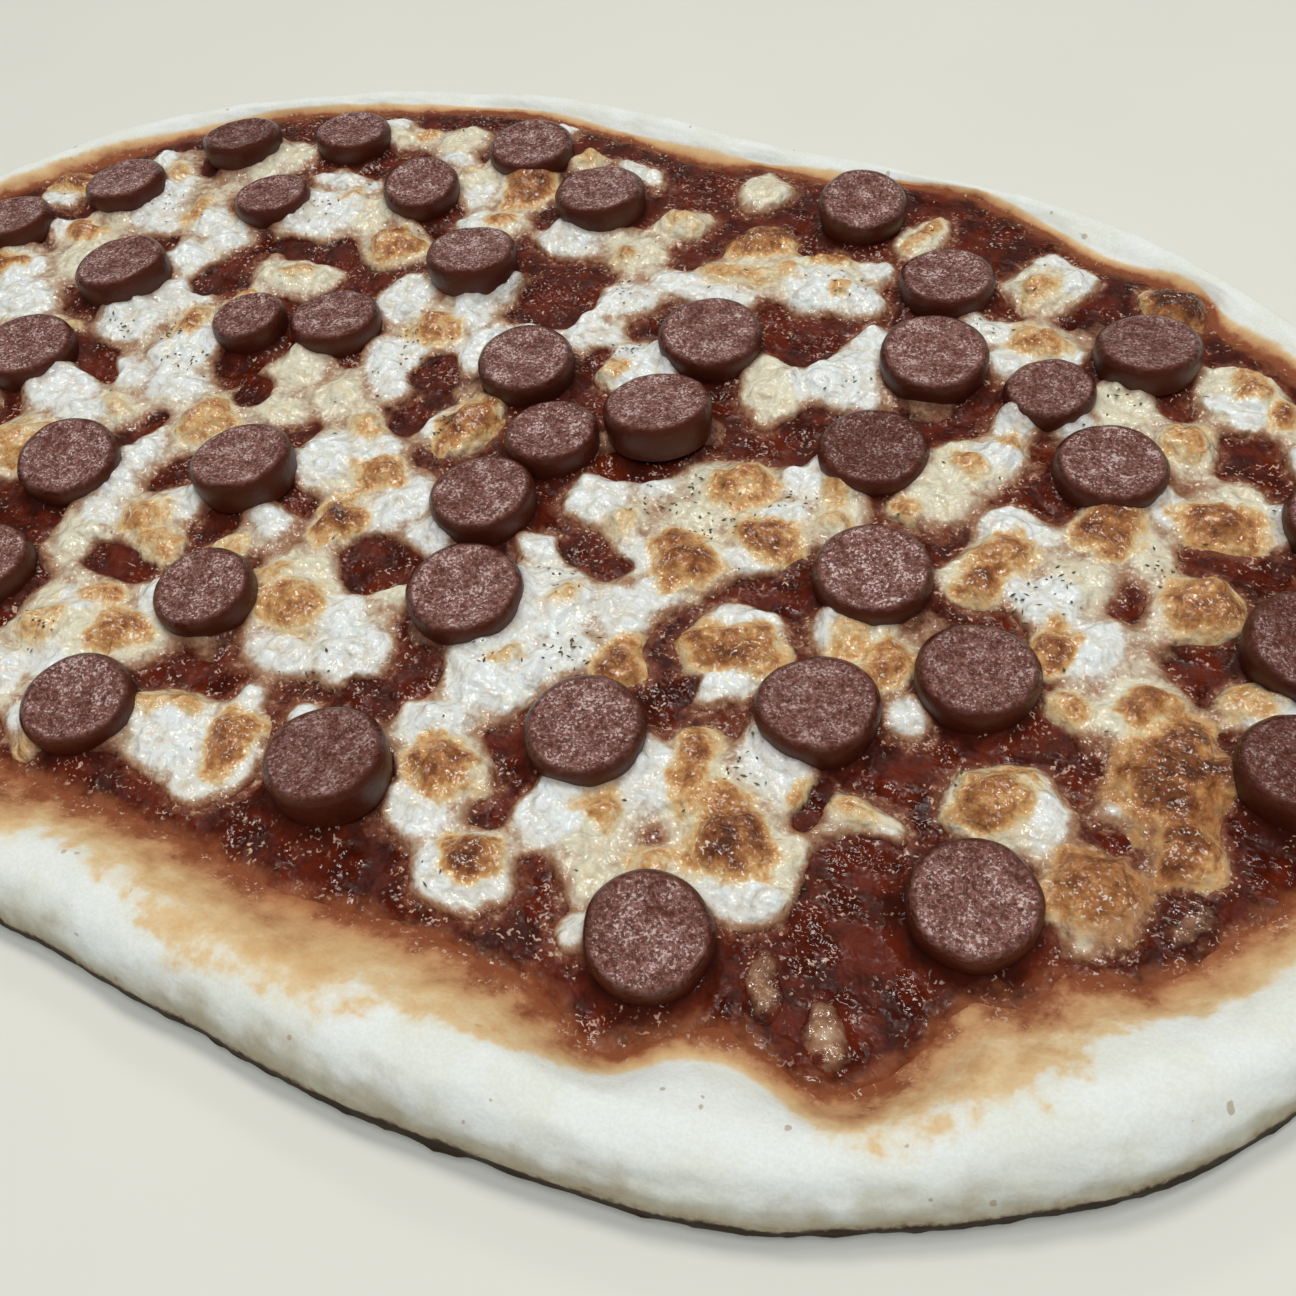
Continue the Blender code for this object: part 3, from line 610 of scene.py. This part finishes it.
# Where the sauce lies bare between the lumps.
BARE = [
    (-22, 22, 6, 7, 0), (-20, 5, 4, 5, 0), (13, 33, 3, 8, 0), (-3, -37, 9, 8, 0),
    (-5, 57, 10, 13, 0), (59, 57, 9, 8, 0), (71, 28, 7, 10, 0), (38, 6, 8, 5, 0),
    (35, -20, 5, 4, 0), (80, -18, 9, 5, 0), (-98, 37, 6, 7, 0), (-108, -1, 9, 5, -30),
    (-78, 54, 14, 4, 0), (-62, 2, 5, 6, 0), (-72, 10, 6, 5, 0), (-61, -55, 10, 4, 0),
    (104, -62, 2.5, 6, 0), (114, -94, 1.5, 9, 0), (71, -46, 4, 4, 0), (115, -80, 9, 16, 0),
    (130, -36, 14, 5, 0), (13, -68, 7, 5, 0), (45, -22, 4, 3, 0), (95, -44, 6, 4, 0),
]
rng = np.random.default_rng(7)
for x, y, half_x, half_y, lean in END_LUMPS:
    side = rng.uniform(0, math.tau)
    off = 0.35 * min(half_x, half_y)
    over_x, over_y = off * math.cos(side), off * math.sin(side)
    heat = rng.uniform(0.35, 0.8)
    CREAM.append((x, y, half_x, half_y, lean))
    WHITE.append((x + over_x, y + over_y, 0.7 * half_x, 0.6 * half_y, lean))
    BLISTERS.append((x - over_x, y - over_y, 0.55 * half_x, 0.5 * half_y, 0, heat))
# How far the cheese of each kind spreads beyond its oval, in mm, and how high the thin ones are.
LUMP_SPREAD = 1.8
FILM_SPREAD = 3.4
SPOT_SPREAD = 0.6
SMEAR_SPREAD = 1.0
SMEAR_HEIGHT = 0.9
WEB_HEIGHT = 1.25
# The plan of the toppings: its two sides, its steps, and the steps of the depth below it.
PLAN_X = (-206, 207)
PLAN_Y = (-136, 141)
SAUCE_STEP = 0.95
COARSE = 4
UNDER_DOUGH = 3.5
SAUCE_CREEP = 1.8
SAUCE_BUMPS = 0.7
SAUCE_DARK = (0.042, 0.0050, 0.0018)
SAUCE_RED = (0.120, 0.0145, 0.0040)
SAUCE_THIN = (0.32, 0.105, 0.042)
FILM_RED = (0.21, 0.066, 0.034)
FILM_TAN = (0.45, 0.27, 0.165)
FAT_AND_PAINTED_GLINT = (0.90, 0.62, 0.46)


def slice_rest(node):
    """Middle, up direction, radius and thickness of a slice's solid."""
    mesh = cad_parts[node].data
    lids = {}
    for face in mesh.polygons:
        if face.normal.z > 0.9:
            key = tuple(round(c, 2) for c in face.normal)
            lids.setdefault(key, [0, face.normal.copy()])[0] += face.area
    up = max(lids.values(), key=lambda lid: lid[0])[1]
    points = np.array([v.co for v in mesh.vertices]) / MM
    middle = (points.min(0) + points.max(0)) / 2
    across = np.linalg.norm(np.cross(points - middle, np.array(up)), axis=1).max()
    along = points @ np.array(up)
    return middle, up, across, along.max() - along.min()


SLICE_NODES = sorted(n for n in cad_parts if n.startswith("slice_"))
SLICE_RESTS = {node: slice_rest(node) for node in SLICE_NODES}


def soften(values, times):
    """Evens out a grid of values."""
    for axis in [0, 1] * times:
        values = (np.roll(values, 1, axis) + 2 * values + np.roll(values, -1, axis)) / 4
    return values


class Plan:
    """The toppings seen from above: values on a square grid of places in mm."""

    def __init__(self, step):
        self.xs = np.arange(*PLAN_X, step)
        self.ys = np.arange(*PLAN_Y, step)
        self.X, self.Y = np.meshgrid(self.xs, self.ys)
        X, Y = self.X, self.Y
        coarse = depth_inside(sauce_outline, X[::COARSE, ::COARSE], Y[::COARSE, ::COARSE])
        along = np.array([np.interp(self.xs, self.xs[::COARSE], row) for row in coarse])
        depth = [np.interp(self.ys, self.ys[::COARSE], column) for column in along.T]
        self.depth = np.array(depth).T
        self.warp_x = add_ripples(X, X, Y, (1.6, 8, 11), (0.8, 3, 12), (0.25, 1.6, 13))
        self.warp_y = add_ripples(Y, X, Y, (1.6, 8, 14), (0.8, 3, 15), (0.25, 1.6, 16))
        self.lay_cheese()
        self.lay_levels()

    def window(self, x, y, reach):
        columns = slice(*np.searchsorted(self.xs, (x - reach, x + reach)))
        return slice(*np.searchsorted(self.ys, (y - reach, y + reach))), columns

    def oval(self, place, grow=0.0):
        """A window of the plan, and its distances from an oval's middle, 1 on the edge."""
        x, y, half_x, half_y, lean = place[:5]
        half_x, half_y = half_x + grow, half_y + grow
        at = self.window(x, y, 1.6 * max(half_x, half_y) + 3)
        c, s = math.cos(math.radians(lean)), math.sin(math.radians(lean))
        dx, dy = self.warp_x[at] - x, self.warp_y[at] - y
        return at, np.hypot((dx * c + dy * s) / half_x, (dy * c - dx * s) / half_y)

    def lay_cheese(self):
        thick, film, white, brown, blister, clear = (np.zeros_like(self.X) for _ in range(6))
        for place in CREAM + WHITE + BLISTERS:
            at, far = self.oval(place, LUMP_SPREAD)
            tall = 1.3 + 0.15 * min(place[2], place[3])
            thick[at] += (tall * np.clip(1 - far**2, 0, 1) ** 0.9) ** 3
            at, far = self.oval(place, FILM_SPREAD)
            film[at] = np.maximum(film[at], ease(1.25 - far, 0, 0.55))
        for place in WHITE:
            at, far = self.oval(place, SPOT_SPREAD)
            white[at] = np.maximum(white[at], ease(1.15 - far, 0, 0.45))
        for place in BLISTERS:
            at, far = self.oval(place, SPOT_SPREAD)
            bulge = 0.36 * min(place[2], place[3]) * np.clip(1 - far**2, 0, 1) ** 1.1
            blister[at] = np.maximum(blister[at], bulge)
            far = add_ripples(far, self.X[at], self.Y[at], (0.28, 4.5, 17), (0.12, 2, 18))
            brown[at] = np.maximum(brown[at], place[5] * ease(1.5 - far, 0, 1.15))
        thick = thick ** (1 / 3)
        for place in THIN:
            at, far = self.oval(place, SMEAR_SPREAD)
            thick[at] = np.maximum(thick[at], SMEAR_HEIGHT * np.clip(1 - far**2, 0, 1) ** 0.6)
        # Lumps that lie close are joined by a thin web.
        crowd = soften(thick, 50) + 0.22 * ease(-self.X, -30, 60)
        crowd = add_ripples(crowd, self.X, self.Y, (0.12, 7, 19))
        thick = np.maximum(thick, WEB_HEIGHT * ease(crowd, 0.50, 1.05))
        for place in CLEAR:
            at, far = self.oval(place)
            clear[at] = np.maximum(clear[at], ease(1.3 - far, 0, 0.6))
        for place in BARE:
            at, far = self.oval(place)
            spared = ease(far, 0.7, 1.2)
            for layer in (thick, film, white, brown):
                layer[at] *= spared
        inland = ease(self.depth, 0.5, 4.0)
        self.thick = soften(thick * inland, 2)
        self.film = film * inland
        self.white = soften(white, 1)
        self.brown = soften(brown, 1)
        self.blister = soften(blister, 1)
        self.clear = clear

    def lay_levels(self):
        X, Y, depth = self.X, self.Y, self.depth
        lumps = add_ripples(0, X, Y, (0.38, 13, 21), (0.28, 5, 22), (0.26, 2.3, 23), (0.15, 1.2, 24))
        creep, stain = np.zeros_like(X), np.zeros_like(X)
        for middle, _, across, _ in SLICE_RESTS.values():
            at = self.window(middle[0], middle[1], across + 5)
            away = np.hypot(X[at] - middle[0], Y[at] - middle[1]) - across
            creep[at] = np.maximum(creep[at], ease(3.2 - away, 0, 4.2))
            # Round each slice's foot the sauce is darkened: a stain of fat and sauce, and painted shade.
            stain[at] = np.maximum(stain[at], ease(1.7 - away, 0, 2.0))
        self.creep = creep
        self.stain = stain
        # Its ragged edge goes down into the dough.
        ragged = add_ripples(depth, X, Y, (1.3, 6, 25), (0.8, 2.2, 26))
        dip = UNDER_DOUGH * ease(0.6 - ragged, 0, 4)
        rise = lumps * ease(depth, -1, 4) + SAUCE_CREEP * creep
        self.sauce_up = SAUCE_TOP - SAUCE_LIP * (1 - ease(depth, 0, 5)) + rise - dip

    def faces(self, keep):
        """The quads whose four corners are all kept, and the points that they use."""
        quads = keep[:-1, :-1] & keep[:-1, 1:] & keep[1:, :-1] & keep[1:, 1:]
        n = np.arange(self.X.size).reshape(self.X.shape)
        faces = np.stack([n[:-1, :-1], n[:-1, 1:], n[1:, 1:], n[1:, :-1]], axis=-1)[quads]
        used, faces = np.unique(faces, return_inverse=True)
        return used, faces.reshape(-1, 4)

    def piece(self, name, keep, level, finish, **measures):
        used, faces = self.faces(keep)
        points = np.stack([self.X, self.Y, level], axis=-1).reshape(-1, 3)[used]
        measures = {label: values.ravel()[used] for label, values in measures.items()}
        return make_piece(name, points, faces, finish, **measures)


def sauce_colour(made):
    """Sauce with its film of cheese, which the cheese's thin edges show too."""
    colour = made.blend(made.noise(6.5, 5, 0.62).step(0.36, 0.66), SAUCE_DARK, SAUCE_RED)
    film = made.measure("film")
    strands = made.noise(2.0, 4, 0.7)
    colour = made.blend((film + (strands - 0.5) * 1.8).step(0.45, 1.05) * 0.8, colour, FILM_RED)
    colour = made.blend((film + (strands - 0.5) * 2.4).step(1.0, 1.35) * 0.8, colour, FILM_TAN)
    # A stain and painted shade at the foot of each slice.
    colour = made.blend(made.measure("stain") * 0.75, colour, SAUCE_DARK)
    # Painted glints, with threads of fat, in clusters over the sauce.
    crowd = (made.noise(6, 3, 0.6) + film * 0.10).step(0.47, 0.63)
    return made.blend(made.glitter(1.5) * crowd * 0.60, colour, FAT_AND_PAINTED_GLINT)


def sauce_finish():
    made = Finish("baked_tomato_sauce")
    height = made.noise(1.7, 1) * 0.8 + made.noise(4.5, 1) * 1.5
    thin = 1 - (made.measure("inland") + (made.noise(5, 4, 0.6) - 0.5) * 9).step(-0.5, 4.2)
    colour = made.blend(thin * 0.75, sauce_colour(made), SAUCE_THIN)
    wet = made.noise(9, 4, 0.6).step(0.44, 0.58)
    return made.done(
        Base_Color=colour, Roughness=0.60 - wet * 0.48, Specular_IOR_Level=0.25,
        Normal=made.bumps(height, SAUCE_BUMPS),
    )


plan = Plan(SAUCE_STEP)
sauce = plan.piece(
    "sauce_baked", plan.depth > -UNDER_DOUGH, plan.sauce_up, sauce_finish(),
    film=plan.film, stain=plan.stain, inland=plan.depth,
)
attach(sauce, "root")
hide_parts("sauce")


# The cheese: mozzarella torn into lumps, which melted where they fell and ran together. It is white
# where thick, cream where thin, and its blisters browned, with painted shade in its creases and
# painted glints on top. It is one skin that dips under the sauce at its edges.
CHEESE_STEP = 0.73
CHEESE_BUMPS = 1.0
CHEESE_THINNEST = 0.02
CHEESE_HEIGHT = 0.85
CHEESE_SUNK = 0.30
EDGE_DIP = 1.1
CHEESE_THIN = (0.40, 0.215, 0.12)
CHEESE_CREAM = (0.82, 0.78, 0.61)
CHEESE_WHITE = (0.86, 0.90, 0.89)
CHEESE_PAINTED_GLINT = (0.96, 0.93, 0.85)
CHEESE_CREASE_TAN_AND_SHADE = (0.64, 0.55, 0.40)
CHEESE_GOLD = (0.78, 0.61, 0.35)
BROWNING = [
    (0.0, (0.81, 0.73, 0.52)), (0.22, (0.78, 0.60, 0.33)), (0.42, (0.68, 0.39, 0.155)),
    (0.60, (0.47, 0.205, 0.070)), (0.80, (0.27, 0.092, 0.030)), (1.0, (0.11, 0.032, 0.012)),
]


def cheese_finish():
    made = Finish("melted_mozzarella")
    cover, pale, heat = made.measure("cover"), made.measure("white"), made.measure("brown")
    fine, soft = made.noise(1.3, 3, 0.65) - 0.5, made.noise(4.5, 3, 0.6) - 0.5
    sauce_below = sauce_colour(made)
    colour = made.blend((cover + fine * 0.15 + soft * 0.5).step(0.04, 0.30), sauce_below, CHEESE_THIN)
    colour = made.blend((cover + fine * 0.3 + soft * 0.9).step(0.22, 0.74), colour, CHEESE_CREAM)
    firm = (cover + fine * 0.5 + soft * 0.4).step(0.25, 0.75)
    whiten = (pale + soft + fine * 0.3).step(0.20, 0.75) * firm
    colour = made.blend(whiten, colour, CHEESE_WHITE)
    toast = (soft + fine * 0.5).step(-0.02, 0.20) * (1 - pale * 0.40)
    colour = made.blend(toast * 0.55 * cover.step(0.3, 0.8), colour, CHEESE_GOLD)
    # The creases are painted darker: painted shade, with the tan of thinner cheese.
    shaded_creases = made.measure("crease") * (fine + 0.75).step(0.3, 1.0) * cover.step(0.4, 0.9)
    colour = made.blend(shaded_creases * 0.70, colour, CHEESE_CREASE_TAN_AND_SHADE)
    seared = heat.step(0.05, 0.35)
    burnt = heat + (fine * 0.6 + soft * 1.1) * seared + made.measure("clear") * 0.30
    ramp = made.node("ShaderNodeValToRGB", {"stops": BROWNING}, {"Fac": burnt})
    colour = made.blend((heat + fine * 0.3 + soft * 0.25).step(0.06, 0.34), colour, ramp)
    # Near the sausage the cheese is reddened: a stain, and painted shade.
    colour = made.blend(made.measure("stain") * 0.45, colour, FILM_RED)
    # Painted glints on the cheese, more of them on the blisters.
    shine = (made.noise(7, 2).step(0.46, 0.60) + seared * 0.5) * cover.step(0.1, 0.4)
    colour = made.blend(made.glitter(1.3) * shine * 0.5, colour, CHEESE_PAINTED_GLINT)
    height = made.noise(1.5, 1) * 0.5 + made.noise(3.6, 1) * 1.8 + made.noise(0.8, 1) * 0.2
    return made.done(
        Base_Color=colour, Roughness=0.15 - heat * 0.03, Normal=made.bumps(height, CHEESE_BUMPS),
        Specular_IOR_Level=0.60,
        Subsurface_Weight=0.30, Subsurface_Radius=(1.0, 0.75, 0.5), Subsurface_Scale=1.3 * MM,
    )


plan = Plan(CHEESE_STEP)
melt = ease(plan.thick, 0.0, 0.9)
folds = abs(ripples(5.5, 31, plan.X, plan.Y))
pits = abs(ripples(2.6, 32, plan.X, plan.Y))
curds = (1.6 * folds + 0.8 * pits) * (0.35 + 0.65 * ease(plan.thick, 0.8, 2.0))
crease = 1 - ease(folds, 0.0, 0.22) * ease(pits, 0.0, 0.15)
cheese_up = plan.sauce_up - EDGE_DIP * (1 - melt) - CHEESE_SUNK + plan.thick * CHEESE_HEIGHT
cheese_up = cheese_up + 0.5 * plan.creep * melt
cheese_up = cheese_up + melt * (plan.blister + 0.30 * plan.white + curds * (1 - 0.5 * plan.brown))
cover = ease(plan.thick, 0.2, 2.4) * (1 - 0.62 * plan.clear)
cheese = plan.piece(
    "cheese_melted", plan.thick > CHEESE_THINNEST, cheese_up, cheese_finish(),
    cover=cover, white=plan.white * (1 - 0.7 * plan.clear), brown=plan.brown,
    crease=crease, clear=plan.clear, film=plan.film, stain=plan.stain,
)
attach(cheese, "root")
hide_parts(*[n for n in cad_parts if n.startswith("cheese_")])


# The herbs: dried oregano and pepper, strewn over before baking. They are real crumbs, thickest
# where a pinch fell on the cheese, and each lies on whatever is below it.
PINCHES = [
    (58, -8), (63, -3), (53, 5), (74, 8), (132, 58), (126, 49), (131, 1), (126, -9), (44, -45),
    (48, -47), (46, -4), (0, -70), (28, -30), (38, -28), (30, -50), (-12, 4), (-30, 20), (-34, 30),
    (-95, 14), (-85, 5), (-110, 12), (20, 42), (75, 44), (62, 78), (100, 75), (-62, -80), (90, -62),
    (150, 12), (-85, 72), (-130, 62), (10, 62),
]
FLECKS_A_PINCH = 14
PINCH_SPREAD = 2.7
LOOSE_FLECKS = 240
LOOSE_X = (-195, 192)
LOOSE_Y = (-112, 125)
# Half the length and half the breadth of a fleck, how far it tips, and its middle's height.
FLECK_LONG = (0.3, 0.85)
FLECK_SHORT = (0.14, 0.34)
FLECK_TIP = 0.4
FLECK_UP = 0.12
FLECK_FROM_RIM = 4
FLECK_FROM_SAUSAGE = 0.5
HERB_BROWN = (0.125, 0.082, 0.040)
HERB_GREEN = (0.120, 0.118, 0.055)


def herb_finish():
    made = Finish("dried_herbs")
    return made.done(Base_Color=made.blend(made.measure("tone"), HERB_BROWN, HERB_GREEN), Roughness=0.6)


def on_sausage(x, y):
    for middle, _, across, _ in SLICE_RESTS.values():
        if math.hypot(x - middle[0], y - middle[1]) < across + FLECK_FROM_SAUSAGE:
            return True
    return False


rng = np.random.default_rng(23)
falls = [rng.normal(pinch, PINCH_SPREAD) for pinch in PINCHES for _ in range(FLECKS_A_PINCH)]
falls += [(rng.uniform(*LOOSE_X), rng.uniform(*LOOSE_Y)) for _ in range(LOOSE_FLECKS)]
herb_points, herb_faces, herb_tone = [], [], []
top = np.maximum(cheese_up, plan.sauce_up)
for x, y in falls:
    i, j = np.searchsorted(plan.ys, y), np.searchsorted(plan.xs, x)
    if plan.depth[i, j] < FLECK_FROM_RIM or on_sausage(x, y):
        continue
    turn = rng.uniform(0, math.tau)
    long = rng.uniform(*FLECK_LONG)
    short = rng.uniform(*FLECK_SHORT)
    tip = rng.uniform(-FLECK_TIP, FLECK_TIP)
    laid = Matrix.Rotation(turn, 3, "Z") @ Matrix.Rotation(tip, 3, "Y")
    corners = [
        (long, 0, 0), (0, short, 0), (-long, 0, 0), (0, -short, 0),
        (0, 0, 0.7 * short), (0, 0, -0.7 * short),
    ]
    first = len(herb_points)
    herb_points += [np.array(laid @ Vector(c)) + (x, y, top[i, j] + FLECK_UP) for c in corners]
    for k in range(4):
        here, after = first + k, first + (k + 1) % 4
        herb_faces += [(here, after, first + 4), (after, here, first + 5)]
    herb_tone += [rng.uniform()] * 6
herbs = make_piece(
    "herb_flecks", np.array(herb_points), herb_faces, herb_finish(), tone=np.array(herb_tone),
)
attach(herbs, "root")


# The sausage: thick slices of a smoked sausage, laid on before baking. The cut face is fine-grained
# and beaded with fat, which carries a painted sheen, its edge is rounded, and the skin is dark and
# glossy. Each one lies as its solid does.
SLICE_AROUND = 72
EDGE_BEND = 1.9
OUT_OF_ROUND = 0.024
WRINKLES = 0.22
WRINKLED_DISH = 0.8
SKIN_BELOW = 1.3
FACE_BUMPS = 0.9
FACE_COLOUR = (0.118, 0.037, 0.027)
FACE_LIGHT = (0.31, 0.140, 0.118)
FACE_FAT_AND_SHEEN = (0.72, 0.55, 0.52)
SKIN_COLOUR = (0.078, 0.0155, 0.0070)
# Slices that stand out: how dark the face is, how deep it is dished in mm, and how strong the
# beads of fat and their painted sheen are. The deepest are wrinkled too.
ODD_SLICES = {
    "slice_01": (0.55, 1.0, 0.5), "slice_19": (0.60, 0.9, 0.6), "slice_33": (0.50, 0.4, 0.5),
    "slice_38": (0.55, 0.3, 0.5), "slice_37": (0.35, 0.3, 0.5), "slice_14": (0.20, 0.2, 0.7),
    "slice_31": (0.05, 0.2, 1.4), "slice_12": (0.25, 0.2, 0.6), "slice_32": (0.25, 0.2, 0.7),
    "slice_36": (0.20, 0.2, 0.7),
}


def sausage_finish():
    made = Finish("smoked_sausage")
    skin, tone, shine = made.measure("skin"), made.measure("tone"), made.measure("shine")
    cloud = made.noise(4, 2) - 0.5
    grain = (made.noise(1.0, 3, 0.7) + cloud * 0.3).step(0.34, 0.66)
    colour = made.blend(grain, FACE_COLOUR, FACE_LIGHT)
    colour = made.blend(tone, colour, SKIN_COLOUR)
    # Beads of fat with a painted sheen, on the middle of the face.
    fat_and_sheen = (made.noise(0.6, 2, 0.65) + cloud * 0.5).step(0.55, 0.66)
    fat_and_sheen = fat_and_sheen * shine * (1 - skin.step(0.0, 0.5))
    colour = made.blend(fat_and_sheen * 0.75, colour, FACE_FAT_AND_SHEEN)
    colour = made.blend((skin + (made.noise(3.0, 2) - 0.5) * 0.7).step(0.25, 0.95), colour, SKIN_COLOUR)
    height = (made.noise(1.0, 1) + made.noise(2.4, 1)) * (1.12 - skin)
    return made.done(
        Base_Color=colour, Roughness=0.20 + skin.step(0.85, 1.0) * 0.22,
        Normal=made.bumps(height, FACE_BUMPS), Specular_IOR_Level=0.42,
    )


def slice_piece(number, node, finish):
    middle, up, across, thickness = SLICE_RESTS[node]
    rng = np.random.default_rng(100 + number)
    dark, dish, shine = ODD_SLICES.get(node, (rng.uniform(0, 0.15), rng.uniform(0.0, 0.45), 1.0))
    around = np.arange(SLICE_AROUND) / SLICE_AROUND * math.tau
    wobble = 0
    for k in (2, 3, 4, 5, 7):
        wobble = wobble + rng.normal(0, OUT_OF_ROUND / k) * np.cos(k * around + rng.uniform(0, math.tau))

    # Its profile, out over the cut face, round the edge and down the skin.
    half = thickness / 2
    bend = min(EDGE_BEND, 0.4 * thickness)
    face_edge = across - bend
    profile = [
        (r * face_edge, half - 0.25 + 0.4 * r**3 - 0.15 * r**8 - dish * (1 - r**2))
        for r in np.linspace(0.08, 1, 11)
    ]
    profile += [
        (face_edge + bend * math.sin(a), half - bend + bend * math.cos(a))
        for a in np.radians((18, 36, 54, 72, 90))
    ]
    profile += [(across, 0), (0.985 * across, -0.45 * half), (0.95 * across, -half)]
    out, height = np.array(profile).T
    rings = out[:, None] * (1 + wobble[None])
    x, y = rings * np.cos(around), rings * np.sin(around)

    # The face has low lumps, and furrows where it is wrinkled.
    past = out / across
    furrows = np.sin(13 * around + 2 * np.sin(3 * around))
    furrows = furrows * ease(past, 0.1, 0.45)[:, None] * (1 - ease(past, 0.7, 0.95)[:, None])
    wrinkled = WRINKLES * (dish > WRINKLED_DISH) * furrows
    relief = add_ripples(wrinkled, x, y, (0.16, 4.0, 40 + number), (0.10, 1.8, 100 + number))
    level = height[:, None] + (height > 0)[:, None] * relief
    points = np.stack([x, y, level], axis=-1).reshape(-1, 3)
    points = np.vstack([points, [(0, 0, level[0].mean())]])
    turned = np.array(up.to_track_quat("Z", "Y").to_matrix())
    points = points @ turned.T + middle
    grid = np.arange(len(profile) * SLICE_AROUND).reshape(-1, SLICE_AROUND)
    sides = np.stack([np.roll(grid, -1, 1)[:-1], grid[:-1], grid[1:], np.roll(grid, -1, 1)[1:]], axis=-1)
    cap = [(len(points) - 1, grid[0, k], grid[0, (k + 1) % SLICE_AROUND]) for k in range(SLICE_AROUND)]
    skin = np.maximum(ease(past, 0.80, 1.0), (past > 0.8) & (height < half - SKIN_BELOW))
    skin = np.append(np.repeat(skin, SLICE_AROUND), 0)
    return make_piece(
        "sausage_" + node[-2:], points, sides.reshape(-1, 4).tolist() + cap, finish,
        skin=skin, tone=np.full(len(skin), dark), shine=np.full(len(skin), shine),
    )


sausage = sausage_finish()
for number, node in enumerate(SLICE_NODES):
    piece = slice_piece(number, node, sausage)
    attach(piece, "root")
    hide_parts(node)
